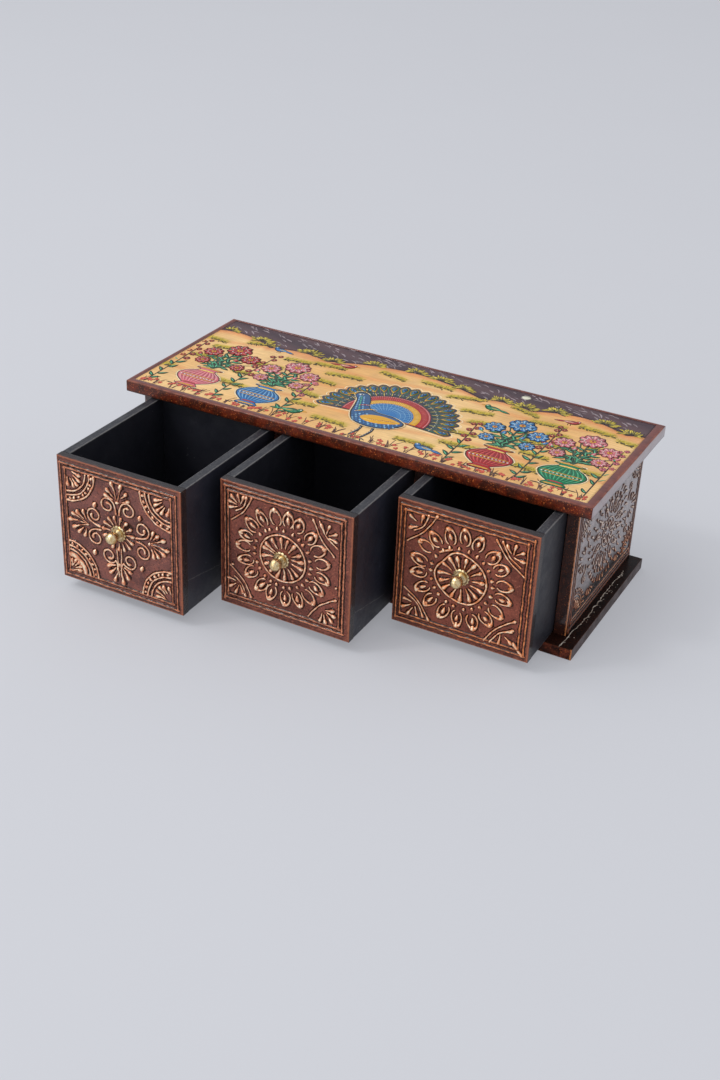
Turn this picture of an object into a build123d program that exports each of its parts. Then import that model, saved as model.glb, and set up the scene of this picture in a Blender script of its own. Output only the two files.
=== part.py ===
from build123d import *
import os

# A low wooden box with three drawers side by side under a flat painted top.
# X runs along the box from left to right, Y from front to back and Z up.
# The origin is on the underside of the base, halfway along the box and
# halfway across the top board.  The drawers stand open, each by its own amount.

# ---------------------------------------------------------------------------
# Driving dimensions, in millimetres
# ---------------------------------------------------------------------------

# Drawer boxes
DRAWER_WIDTH = 84.5
DRAWER_HEIGHT = 79.8
DRAWER_DEPTH = 102.0
DRAWER_FRONT_THICKNESS = 5.5
DRAWER_SIDE_THICKNESS = 5.5
DRAWER_BACK_THICKNESS = 5.5
DRAWER_BOTTOM_THICKNESS = 3.5
DRAWER_ROUND = 0.5

# How far each drawer stands out of the case
LEFT_OPENING = 97.3
MIDDLE_OPENING = 71.6
RIGHT_OPENING = 37.2

# Room that each drawer has in its bay
LEFT_GAP = 1.2
RIGHT_GAP = 0.3
UNDER_GAP = 0.2
OVER_GAP = 1.0
REAR_GAP = 0.5

# Case boards
TOP_THICKNESS = 7.3
BASE_THICKNESS = 7.1
PANEL_THICKNESS = 7.5
DIVIDER_THICKNESS = 7.5
BACK_THICKNESS = 5.5
BOARD_ROUND = 0.8
PANEL_ROUND = 0.5

# How far the top and the base stand out past the uprights
TOP_END_OVERHANG = 8.5
TOP_FRONT_OVERHANG = 7.0
TOP_BACK_OVERHANG = 7.0
BASE_END_OVERHANG = 8.5
BASE_FRONT_STEP = 12.0
BASE_STRIP_WIDTH = 8.0

# Knob: a ball on a neck, turned in one piece with its threaded stud
BALL_DIAMETER = 7.4
BALL_STANDOFF = 6.6
NECK_DIAMETER = 3.2
NECK_FOOT_DIAMETER = 5.2
NECK_FOOT_HEIGHT = 1.6
STUD_DIAMETER = 3.0
STUD_END = 0.8
STUD_CLEARANCE = 0.1
LEFT_KNOB_OFFSET = (-0.6, 1.2)
MIDDLE_KNOB_OFFSET = (-2.0, 0.2)
RIGHT_KNOB_OFFSET = (-1.2, 1.8)

# Rosette: a dished plate with a scalloped rim, under the knob
ROSETTE_DIAMETER = 10.2
ROSETTE_RIM_HEIGHT = 1.0
ROSETTE_DISH_HEIGHT = 0.7
ROSETTE_SCALLOPS = 14
SCALLOP_DIAMETER = 1.8

# Washer and hexagon nut inside the drawer
WASHER_DIAMETER = 7.0
WASHER_THICKNESS = 0.5
NUT_ACROSS_FLATS = 5.5
NUT_THICKNESS = 2.4
NUT_CHAMFER = 0.3

# Brads, punched flush with the board that they hold
BRAD_DIAMETER = 1.2
BRAD_HEAD_DIAMETER = 1.9
BRAD_HEAD_THICKNESS = 0.5
CASE_BRAD_LENGTH = 20.0
DRAWER_BRAD_LENGTH = 14.0
BRAD_INSET = 12.0
BACK_BRAD_INSET = 20.0
BRADS_IN_ROW = 3

# ---------------------------------------------------------------------------
# Places worked out from the driving dimensions
# ---------------------------------------------------------------------------

DRAWERS = [
    ("left", LEFT_OPENING, LEFT_KNOB_OFFSET),
    ("middle", MIDDLE_OPENING, MIDDLE_KNOB_OFFSET),
    ("right", RIGHT_OPENING, RIGHT_KNOB_OFFSET),
]

bay_width = LEFT_GAP + DRAWER_WIDTH + RIGHT_GAP
bay_pitch = bay_width + DIVIDER_THICKNESS
bays_width = len(DRAWERS) * bay_pitch - DIVIDER_THICKNESS
case_width = bays_width + 2 * PANEL_THICKNESS

bay_depth = DRAWER_DEPTH + REAR_GAP
case_depth = bay_depth + BACK_THICKNESS
top_depth = TOP_FRONT_OVERHANG + case_depth + TOP_BACK_OVERHANG
case_front = -top_depth / 2 + TOP_FRONT_OVERHANG
case_back = case_front + case_depth
bay_back = case_front + bay_depth

bay_floor = BASE_THICKNESS
bay_height = UNDER_GAP + DRAWER_HEIGHT + OVER_GAP
bay_ceiling = bay_floor + bay_height
drawer_underside = bay_floor + UNDER_GAP


# ---------------------------------------------------------------------------
# Boards and brads
# ---------------------------------------------------------------------------

def board(x_faces, y_faces, z_faces):
    """A board between two faces along each axis."""
    size = [high - low for low, high in (x_faces, y_faces, z_faces)]
    middle = [(high + low) / 2 for low, high in (x_faces, y_faces, z_faces)]
    return Pos(*middle) * Box(*size)


def edges_on(solid, **planes):
    """The edges that lie in every plane named, such as Y=0."""
    found = solid.edges()
    for axis, place in planes.items():
        found = found.filter_by(
            lambda edge: all(
                abs(getattr(end, axis) - place) < 1e-5
                for end in (edge @ 0, edge @ 0.5, edge @ 1)
            )
        )
    return found


def spread(low, high, inset=BRAD_INSET):
    """The places of a row of brads between two ends, each end inset."""
    step = (high - low - 2 * inset) / (BRADS_IN_ROW - 1)
    return [low + inset + step * index for index in range(BRADS_IN_ROW)]


def brad(head, direction, length):
    """A brad with its head flush at a point, driven along a direction."""
    shank = Cylinder(BRAD_DIAMETER / 2, length, align=(Align.CENTER, Align.CENTER, Align.MIN))
    cap = Cylinder(
        BRAD_HEAD_DIAMETER / 2,
        BRAD_HEAD_THICKNESS,
        align=(Align.CENTER, Align.CENTER, Align.MIN),
    )
    return Plane(origin=head, z_dir=direction) * (shank + cap)


def without(solid, pieces):
    """A board with the holes that the given pieces fill."""
    for piece in pieces:
        solid = solid - piece
    return solid


# ---------------------------------------------------------------------------
# Knob and its fittings, built along +Z from the drawer's front face
# ---------------------------------------------------------------------------

def turned(outline):
    """A solid turned about Z from an outline of (radius, height) points."""
    face = Plane.XZ * make_face(Polyline(*outline, close=True))
    return revolve(face, Axis.Z)


def make_knob():
    ball_radius = BALL_DIAMETER / 2
    neck_radius = NECK_DIAMETER / 2
    ball = Pos(0, 0, BALL_STANDOFF) * Sphere(ball_radius)
    foot_bottom = ROSETTE_DISH_HEIGHT
    neck = turned([
        (0, foot_bottom),
        (NECK_FOOT_DIAMETER / 2, foot_bottom),
        (NECK_FOOT_DIAMETER / 2, foot_bottom + NECK_FOOT_HEIGHT * 0.4),
        (neck_radius, foot_bottom + NECK_FOOT_HEIGHT),
        (neck_radius, BALL_STANDOFF),
        (0, BALL_STANDOFF),
    ])
    inner_end = -(DRAWER_FRONT_THICKNESS + WASHER_THICKNESS + NUT_THICKNESS + STUD_END)
    stud = turned([
        (0, inner_end),
        (STUD_DIAMETER / 2, inner_end),
        (STUD_DIAMETER / 2, foot_bottom),
        (0, foot_bottom),
    ])
    return ball + neck + stud


def make_rosette():
    outer = ROSETTE_DIAMETER / 2
    lobe = SCALLOP_DIAMETER / 2
    bore = STUD_DIAMETER / 2 + STUD_CLEARANCE
    seat = NECK_FOOT_DIAMETER / 2
    plate = turned([
        (bore, 0),
        (outer, 0),
        (outer, ROSETTE_RIM_HEIGHT * 0.6),
        (outer - lobe, ROSETTE_RIM_HEIGHT),
        (seat + (outer - lobe - seat) / 2, ROSETTE_DISH_HEIGHT),
        (bore, ROSETTE_DISH_HEIGHT),
    ])
    outline = Circle(outer - lobe)
    for place in PolarLocations(outer - lobe, ROSETTE_SCALLOPS):
        outline = outline + place * Circle(lobe)
    return plate & extrude(outline, ROSETTE_RIM_HEIGHT)


def make_washer():
    bore = STUD_DIAMETER / 2 + STUD_CLEARANCE
    outer_face = -DRAWER_FRONT_THICKNESS
    ring = Circle(WASHER_DIAMETER / 2) - Circle(bore)
    return Pos(0, 0, outer_face - WASHER_THICKNESS) * extrude(ring, WASHER_THICKNESS)


def make_nut():
    outer_face = -(DRAWER_FRONT_THICKNESS + WASHER_THICKNESS)
    hexagon = RegularPolygon(NUT_ACROSS_FLATS / 2, 6, major_radius=False)
    body = extrude(hexagon, NUT_THICKNESS)
    corner = RegularPolygon(NUT_ACROSS_FLATS / 2, 6, major_radius=False).radius
    turned_corners = turned([
        (0, 0),
        (corner, 0),
        (corner, NUT_THICKNESS - NUT_CHAMFER),
        (corner - 2 * NUT_CHAMFER, NUT_THICKNESS),
        (0, NUT_THICKNESS),
    ])
    nut = (body & turned_corners) - Cylinder(STUD_DIAMETER / 2, 4 * NUT_THICKNESS)
    return Pos(0, 0, outer_face) * Rot(180, 0, 0) * nut


def knob_place(offset):
    """The knob's plane on a drawer whose front face is at Y=0, over X=0."""
    across, up = offset
    return Plane(
        origin=(across, 0, DRAWER_HEIGHT / 2 + up),
        x_dir=(1, 0, 0),
        z_dir=(0, -1, 0),
    )


# ---------------------------------------------------------------------------
# Drawer, with its front face at Y=0, its middle at X=0 and its underside at Z=0
# ---------------------------------------------------------------------------

def drawer_brads():
    half = DRAWER_WIDTH / 2
    side_middle = half - DRAWER_SIDE_THICKNESS / 2
    back_middle = DRAWER_DEPTH - DRAWER_BACK_THICKNESS / 2
    brads = []
    for hand in (-1, 1):
        for height in spread(0, DRAWER_HEIGHT):
            brads.append(brad((hand * side_middle, 0, height), (0, 1, 0), DRAWER_BRAD_LENGTH))
            brads.append(brad((hand * half, back_middle, height), (-hand, 0, 0), DRAWER_BRAD_LENGTH))
        for depth in spread(DRAWER_FRONT_THICKNESS, DRAWER_DEPTH - DRAWER_BACK_THICKNESS):
            head = (hand * half, depth, DRAWER_BOTTOM_THICKNESS / 2)
            brads.append(brad(head, (-hand, 0, 0), DRAWER_BRAD_LENGTH))
    return brads


def make_drawer(knob_offset):
    """The drawer's pieces by name."""
    half = DRAWER_WIDTH / 2
    inner = half - DRAWER_SIDE_THICKNESS
    front_back = DRAWER_FRONT_THICKNESS
    back_front = DRAWER_DEPTH - DRAWER_BACK_THICKNESS
    place = knob_place(knob_offset)
    brads = drawer_brads()

    front = board((-half, half), (0, front_back), (0, DRAWER_HEIGHT))
    front = fillet(edges_on(front, Y=0), DRAWER_ROUND)
    front = fillet(edges_on(front, Y=front_back, Z=DRAWER_HEIGHT), DRAWER_ROUND)
    stud_hole = Cylinder(STUD_DIAMETER / 2 + STUD_CLEARANCE, 4 * DRAWER_FRONT_THICKNESS)

    sides = {}
    for name, hand in (("side_left", -1), ("side_right", 1)):
        faces = sorted((hand * inner, hand * half))
        side = board(faces, (front_back, DRAWER_DEPTH), (0, DRAWER_HEIGHT))
        side = fillet(edges_on(side, Z=DRAWER_HEIGHT, X=faces[0]), DRAWER_ROUND)
        side = fillet(edges_on(side, Z=DRAWER_HEIGHT, X=faces[1]), DRAWER_ROUND)
        side = fillet(edges_on(side, Z=0, X=hand * half), DRAWER_ROUND)
        sides[name] = side

    back = board((-inner, inner), (back_front, DRAWER_DEPTH), (0, DRAWER_HEIGHT))
    back = fillet(edges_on(back, Z=DRAWER_HEIGHT, Y=back_front), DRAWER_ROUND)
    back = fillet(edges_on(back, Z=DRAWER_HEIGHT, Y=DRAWER_DEPTH), DRAWER_ROUND)
    bottom = board((-inner, inner), (front_back, back_front), (0, DRAWER_BOTTOM_THICKNESS))

    return {
        "front": without(front - place * stud_hole, brads),
        "side_left": without(sides["side_left"], brads),
        "side_right": without(sides["side_right"], brads),
        "back": without(back, brads),
        "bottom": without(bottom, brads),
        "brads": Compound(children=brads),
        "knob": place * make_knob(),
        "knob_rosette": place * make_rosette(),
        "knob_washer": place * make_washer(),
        "knob_nut": place * make_nut(),
    }


# ---------------------------------------------------------------------------
# Case
# ---------------------------------------------------------------------------

def upright_spans():
    """The X faces of each upright board, left to right, by name."""
    half = case_width / 2
    spans = {"side_panel_left": (-half, -half + PANEL_THICKNESS)}
    for index, name in enumerate(("divider_left", "divider_right")):
        left_face = -bays_width / 2 + (index + 1) * bay_pitch - DIVIDER_THICKNESS
        spans[name] = (left_face, left_face + DIVIDER_THICKNESS)
    spans["side_panel_right"] = (half - PANEL_THICKNESS, half)
    return spans


def case_brads():
    """The brads through the top, the base and the back, by group."""
    top_face = bay_ceiling + TOP_THICKNESS
    top_group = []
    base_group = []
    back_group = []
    for name, (low, high) in upright_spans().items():
        middle = (low + high) / 2
        for depth in spread(case_front, bay_back):
            top_group.append(brad((middle, depth, top_face), (0, 0, -1), CASE_BRAD_LENGTH))
            base_group.append(brad((middle, depth, 0), (0, 0, 1), CASE_BRAD_LENGTH))
        for height in spread(bay_floor, bay_ceiling, BACK_BRAD_INSET):
            if name.startswith("divider"):
                back_group.append(brad((middle, case_back, height), (0, -1, 0), CASE_BRAD_LENGTH))
            else:
                hand = 1 if middle > 0 else -1
                head = (hand * case_width / 2, case_back - BACK_THICKNESS / 2, height)
                back_group.append(brad(head, (-hand, 0, 0), CASE_BRAD_LENGTH))
    return top_group, base_group, back_group


def make_top_board():
    half = case_width / 2 + TOP_END_OVERHANG
    heights = (bay_ceiling, bay_ceiling + TOP_THICKNESS)
    top = board((-half, half), (-top_depth / 2, top_depth / 2), heights)
    return fillet(top.edges(), BOARD_ROUND)


def make_base():
    """The base board and the two strips glued to its ends."""
    front = case_front - BASE_FRONT_STEP
    half = case_width / 2 + BASE_END_OVERHANG
    seam = half - BASE_STRIP_WIDTH
    heights = (0, BASE_THICKNESS)
    pieces = {}
    for name, faces in (
        ("base_board", (-seam, seam)),
        ("base_strip_left", (-half, -seam)),
        ("base_strip_right", (seam, half)),
    ):
        piece = board(faces, (front, case_back), heights)
        for depth in (front, case_back):
            for height in heights:
                piece = fillet(edges_on(piece, Y=depth, Z=height), BOARD_ROUND)
        pieces[name] = piece
    return pieces


def make_uprights():
    """The side panels and the dividers."""
    pieces = {}
    for name, faces in upright_spans().items():
        back = bay_back if name.startswith("divider") else case_back
        piece = board(faces, (case_front, back), (bay_floor, bay_ceiling))
        for place in faces:
            piece = fillet(edges_on(piece, Y=case_front, X=place), PANEL_ROUND)
        pieces[name] = piece
    return pieces


def make_back_panel():
    half = bays_width / 2
    return board((-half, half), (bay_back, case_back), (bay_floor, bay_ceiling))


def make_case():
    """The case's pieces by name."""
    top_group, base_group, back_group = case_brads()
    brads = top_group + base_group + back_group
    boards = {"top_board": make_top_board(), "back_panel": make_back_panel()}
    boards.update(make_base())
    boards.update(make_uprights())
    pieces = {name: without(piece, brads) for name, piece in boards.items()}
    pieces["top_brads"] = Compound(children=top_group)
    pieces["base_brads"] = Compound(children=base_group)
    pieces["back_brads"] = Compound(children=back_group)
    return pieces


# ---------------------------------------------------------------------------
# The whole box
# ---------------------------------------------------------------------------

def make_box():
    nodes = make_case()
    for index, (name, opening, knob_offset) in enumerate(DRAWERS):
        bay_left = -bays_width / 2 + index * bay_pitch
        middle = bay_left + LEFT_GAP + DRAWER_WIDTH / 2
        place = Pos(middle, case_front - opening, drawer_underside)
        for piece_name, piece in make_drawer(knob_offset).items():
            nodes[f"{name}_drawer_{piece_name}"] = place * piece
    return nodes


os.makedirs("parts", exist_ok=True)
for node_name, node in make_box().items():
    export_step(node, f"parts/{node_name}.step")
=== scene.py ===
"""Looks of a painted wooden box with three drawers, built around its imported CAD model.

Lengths are in millimetres here and become metres when a mesh is made.
Row frame: +X to the right, +Y to the back, +Z up.
"""

import math
import random

import bmesh
import bpy
from mathutils import Matrix, Vector


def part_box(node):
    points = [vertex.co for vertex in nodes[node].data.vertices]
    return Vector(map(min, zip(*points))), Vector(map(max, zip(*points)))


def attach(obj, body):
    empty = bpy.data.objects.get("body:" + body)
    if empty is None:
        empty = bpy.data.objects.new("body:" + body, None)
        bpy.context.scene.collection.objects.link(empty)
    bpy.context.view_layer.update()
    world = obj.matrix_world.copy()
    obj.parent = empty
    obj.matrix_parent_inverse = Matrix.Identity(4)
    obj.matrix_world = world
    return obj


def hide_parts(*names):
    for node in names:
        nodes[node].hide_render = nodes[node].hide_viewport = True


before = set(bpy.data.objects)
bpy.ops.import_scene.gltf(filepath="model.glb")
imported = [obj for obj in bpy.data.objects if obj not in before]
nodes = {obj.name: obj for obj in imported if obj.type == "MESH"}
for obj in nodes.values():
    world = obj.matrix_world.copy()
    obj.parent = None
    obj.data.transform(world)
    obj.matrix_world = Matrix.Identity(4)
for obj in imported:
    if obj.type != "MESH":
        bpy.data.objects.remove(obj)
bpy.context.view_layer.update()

MM = 0.001
SIDES = ("left", "middle", "right")


def corners(node):
    """Lowest and highest corner of a CAD node, in mm."""
    low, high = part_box(node)
    return tuple(v / MM for v in low), tuple(v / MM for v in high)


def rgb(red, green, blue):
    """A colour as a screen shows it (0 to 255), as the linear values that shaders use."""
    out = []
    for value in (red, green, blue):
        c = value / 255
        out.append(c / 12.92 if c <= 0.04045 else ((c + 0.055) / 1.055) ** 2.4)
    return tuple(out)


def mixed(a, b, t):
    return tuple(p + (q - p) * t for p, q in zip(a, b))


def clamp(value, low=0.0, high=1.0):
    return max(low, min(high, value))


def soft_step(value, low, high):
    t = clamp((value - low) / (high - low))
    return t * t * (3 - 2 * t)


# ---------------------------------------------------------------- material nodes

class Wire:
    """One output of a shader node. Arithmetic on it adds the nodes that do it."""

    def __init__(self, owner, socket):
        self.owner, self.socket = owner, socket

    def __add__(self, other):
        return self.owner.math("ADD", self, other)

    def __sub__(self, other):
        return self.owner.math("SUBTRACT", self, other)

    def __rsub__(self, other):
        return self.owner.math("SUBTRACT", other, self)

    def __mul__(self, other):
        return self.owner.math("MULTIPLY", self, other)

    def __truediv__(self, other):
        return self.owner.math("DIVIDE", self, other)

    def __abs__(self):
        return self.owner.math("ABSOLUTE", self)


class Nodes:
    """A shader node tree, emptied and given its output node."""

    def __init__(self, holder, output):
        holder.use_nodes = True
        self.tree = holder.node_tree
        self.tree.nodes.clear()
        self.output = self.tree.nodes.new("ShaderNode" + output).inputs[0]

    def feed(self, socket, value):
        if isinstance(value, Wire):
            self.tree.links.new(value.socket, socket)
        elif socket.type == "RGBA":
            socket.default_value = (*value, 1)
        else:
            socket.default_value = value

    def add(self, kind, inputs=(), output=0, **settings):
        """A new node with its settings and inputs, which are given by name or number."""
        node = self.tree.nodes.new("ShaderNode" + kind)
        for name, value in settings.items():
            setattr(node, name, value)
        for socket, value in dict(inputs).items():
            self.feed(node.inputs[socket], value)
        return Wire(self, node.outputs[output])

    def math(self, operation, *values):
        return self.add("Math", enumerate(values), operation=operation)

    def least(self, a, b):
        return self.math("MINIMUM", a, b)

    def most(self, a, b):
        return self.math("MAXIMUM", a, b)

    def length(self, a, b):
        return self.math("SQRT", a * a + b * b)

    def seen_directly(self):
        """1 for rays from the camera, and for those that metal or glass sends on."""
        camera, glossy, transmission = (self.add("LightPath", output="Is %s Ray" % kind)
                                        for kind in ("Camera", "Glossy", "Transmission"))
        return self.most(self.most(camera, glossy), transmission)


class Finish(Nodes):
    """One material, with short calls for the nodes used here. Its lengths are in mm."""

    def __init__(self, name, roughness=0.5, metallic=0.0, coat=0.0, coat_roughness=0.1, coat_ior=1.5,
                 specular=0.5, tint=(1.0, 1.0, 1.0)):
        self.material = bpy.data.materials.new(name)
        super().__init__(self.material, "OutputMaterial")
        self.surface = self.add("BsdfPrincipled", {
            "Roughness": roughness, "Metallic": metallic, "Coat Weight": coat,
            "Coat Roughness": coat_roughness, "Coat IOR": coat_ior, "Specular IOR Level": specular,
            "Specular Tint": tint})
        self.feed(self.output, self.surface)
        self.facing = self.parts(self.add("TexCoord", output="Normal"))
        here = self.add("TexCoord", output="Object")
        self.place = self.add("VectorMath", {0: here, "Scale": 1 / MM}, operation="SCALE")
        self.xyz = self.parts(self.place)

    def parts(self, vector):
        node = self.add("SeparateXYZ", {0: vector}).socket.node
        return tuple(Wire(self, socket) for socket in node.outputs)

    def moved(self, size, stretch, shift):
        scale = tuple(s / size for s in stretch)
        return self.add("Mapping", {"Vector": self.place, "Scale": scale, "Location": shift})

    def noise(self, size, detail=3.0, stretch=(1, 1, 1), shift=(0, 0, 0), roughness=0.55):
        """Cloudy noise whose patches are about size mm across; stretch divides an axis."""
        return self.add("TexNoise", {"Vector": self.moved(size, stretch, shift), "Scale": 1.0,
                                     "Detail": detail, "Roughness": roughness})

    def cells(self, size, shift=(0, 0, 0)):
        return self.add("TexVoronoi", {"Vector": self.moved(size, (1, 1, 1), shift), "Scale": 1.0},
                        "Distance")

    def step(self, value, low, high, start=0.0, end=1.0):
        return self.add("MapRange", enumerate((value, low, high, start, end)),
                        interpolation_type="SMOOTHSTEP")

    def blend(self, factor, a, b):
        return self.add("Mix", {0: factor, 6: a, 7: b}, 2, data_type="RGBA")

    def wash(self, colour, tone, amount, value, low, high):
        """colour, turned towards tone by amount as value passes from low to high."""
        return self.blend(self.step(value, low, high) * amount, colour, tone)

    def specks(self, colour, tone, amount, size, low, high, shift, detail=3, roughness=0.7):
        return self.wash(colour, tone, amount, self.noise(size, detail, shift=shift, roughness=roughness),
                         low, high)

    def stored(self, name, output="Fac"):
        return self.add("Attribute", output=output, attribute_name=name)

    def edge(self, low, high):
        """Distance in mm from a point on a board's face to the nearest edge of that face."""
        gaps = [self.least(at - a, b - at) for at, a, b in zip(self.xyz, low, high)]
        larger = self.most(gaps[0], gaps[1])
        return self.most(self.least(gaps[0], gaps[1]), self.least(larger, gaps[2]))

    def bump(self, height, distance):
        return self.add("Bump", {"Strength": 1.0, "Distance": distance * MM, "Height": height})

    def done(self, colour, roughness=None, normal=None, metallic=None):
        for name, value in (("Base Color", colour), ("Roughness", roughness), ("Normal", normal),
                            ("Metallic", metallic)):
            if value is not None:
                self.feed(self.surface.socket.node.inputs[name], value)
        return self.material


# ---------------------------------------------------------------- camera, floor and lights

CAMERA_PLACE = (0.36446, -0.74424, 0.47546)
CAMERA_AZIMUTH = 27.17
CAMERA_ELEVATION = 29.93
CAMERA_ROLL = 2.605
CAMERA_LENS = 50.03

# name, place, aim, size, power, colour
LIGHTS = (("key_light", (-1.6, -1.15, 3.0), (0, 0, 0), 3.4, 41, (1.0, 0.99, 0.98)),
          ("crisp_light", (-1.15, -1.15, 2.0), (0, 0, 0), 0.42, 9.5, (1.0, 0.985, 0.965)),
          ("low_fill", (-0.9, -2.2, 0.55), (0, -0.1, 0.02), 1.3, 8, (0.98, 0.99, 1.0)))
WORLD_LIGHT = (0.975, 0.978, 0.99)
WORLD_LEVEL = 0.70
BACKDROP = rgb(203, 207, 214)
FLOOR_GLOW = 0.42
FLOOR_REACH = 9.0


def linked(name, data):
    thing = bpy.data.objects.new(name, data)
    bpy.context.scene.collection.objects.link(thing)
    return thing


def make_camera():
    data = bpy.data.cameras.new("camera")
    data.lens = CAMERA_LENS
    data.sensor_width = 36
    data.clip_end = 50
    camera = linked("camera", data)
    turn = Matrix.Rotation(math.radians(CAMERA_AZIMUTH), 4, "Z")
    turn @= Matrix.Rotation(math.radians(90 - CAMERA_ELEVATION), 4, "X")
    turn @= Matrix.Rotation(math.radians(CAMERA_ROLL), 4, "Z")
    camera.matrix_world = Matrix.Translation(CAMERA_PLACE) @ turn
    bpy.context.scene.camera = camera


def make_lights():
    for name, place, aim, size, power, colour in LIGHTS:
        data = bpy.data.lights.new(name, "AREA")
        data.shape = "DISK"
        data.size = size
        data.energy = power
        data.color = colour
        turn = (Vector(place) - Vector(aim)).to_track_quat("Z", "Y").to_matrix().to_4x4()
        linked(name, data).matrix_world = Matrix.Translation(place) @ turn
    world = bpy.data.worlds.new("studio")
    bpy.context.scene.world = world
    w = Nodes(world, "OutputWorld")
    light = w.add("Background", {"Color": WORLD_LIGHT, "Strength": WORLD_LEVEL})
    seen = w.add("Background", {"Color": BACKDROP})
    w.feed(w.output, w.add("MixShader", {0: w.seen_directly(), 1: light, 2: seen}))


def make_floor():
    """A pale studio sheet. Part of its brightness is its own to the camera, so shadows on it stay light."""
    f = Finish("studio_floor", roughness=0.85)
    colour = f.blend(f.noise(260, 3), rgb(203, 206, 213), rgb(206, 209, 216))
    f.done(colour, normal=f.bump(f.noise(1.5, 2), 0.02))
    glow = f.add("Emission", {"Color": rgb(204, 205, 212)})
    f.feed(f.output, f.add("MixShader", {0: f.seen_directly() * FLOOR_GLOW, 1: f.surface, 2: glow}))
    mesh = bpy.data.meshes.new("floor")
    r = FLOOR_REACH
    mesh.from_pydata([(-r, -r, 0), (r, -r, 0), (r, r, 0), (-r, r, 0)], [], [(0, 1, 2, 3)])
    mesh.materials.append(f.material)
    floor = linked("floor", mesh)


# ---------------------------------------------------------------- materials

COPPER = rgb(228, 146, 106)
COPPER_ORANGE = rgb(240, 146, 88)
COPPER_HIGHLIGHT = rgb(255, 228, 192)
COPPER_DARK = rgb(112, 50, 24)
COPPER_GLAZE_AND_SHADE = rgb(15, 5, 3)
COPPER_SHINE = (1.0, 0.6, 0.45)


def black_paint(name, rim, scuff_and_sheen=None):
    """Satin black brushed over board, a little paler along the arrises of rim, which are the outer ones.

    The last argument is where a scratch starts and ends on the right face, as (y, z) in mm; when it is
    given, the right face is also painted paler and bluer, a painted reflection.
    """
    f = Finish(name, roughness=0.42)
    cloud = f.noise(24, 4)
    colour = f.blend(cloud, rgb(25, 26, 33), rgb(37, 38, 47))
    right = f.step(f.facing[0], 0.6, 0.9)
    # painted reflection: where a scratch is given, the right face is painted paler and bluer
    if scuff_and_sheen:
        colour = f.blend(right, colour, f.blend(cloud, rgb(31, 32, 41), rgb(45, 46, 58)))
    streak = f.noise(1.2, 3, stretch=(1, 0.16, 1), shift=(3, 1, 7))
    up = f.step(f.facing[2], 0.55, 0.9)
    colour = f.wash(colour, rgb(60, 60, 64), up * 0.9, streak, 0.35, 0.75)
    colour = f.specks(colour, rgb(104, 102, 102), up * 0.6, 1.3, 0.52, 0.68, (9, 2, 2), 4)
    colour = f.specks(colour, rgb(18, 18, 22), up * 0.6, 1.0, 0.54, 0.66, (2, 6, 5), 4)
    colour = f.wash(colour, rgb(112, 110, 110), 0.8, f.edge(*rim) - f.noise(2.2, 4), 0.25, -0.25)
    some = f.step(f.noise(9, 1, shift=(8, 3, 5)), 0.60, 0.66)
    colour = f.wash(colour, rgb(160, 160, 162), some * 0.55, f.cells(2.6, (4, 9, 2)), 0.13, 0.07)
    if scuff_and_sheen:
        (y0, z0), (y1, z1) = scuff_and_sheen
        along = (f.xyz[1] - y0) / (y1 - y0)
        wander = (f.noise(5, 3, shift=(1, 6, 2)) - 0.5) * 1.6
        off = abs(f.xyz[2] - (along * (z1 - z0) + z0 + wander))
        mark = right * f.step(along, 1.02, 0.97) * f.step(f.noise(1.4, 3, shift=(2, 2, 9)), 0.30, 0.55)
        colour = f.wash(colour, rgb(120, 118, 118), mark * 0.55, off, 0.42, 0.12)
    rough = f.step(f.noise(7, 4, shift=(5, 5, 5)), 0.25, 0.8, 0.38, 0.58)
    return f.done(colour, rough, f.bump(streak * 0.6 + f.noise(0.5, 2), 0.045))


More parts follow.
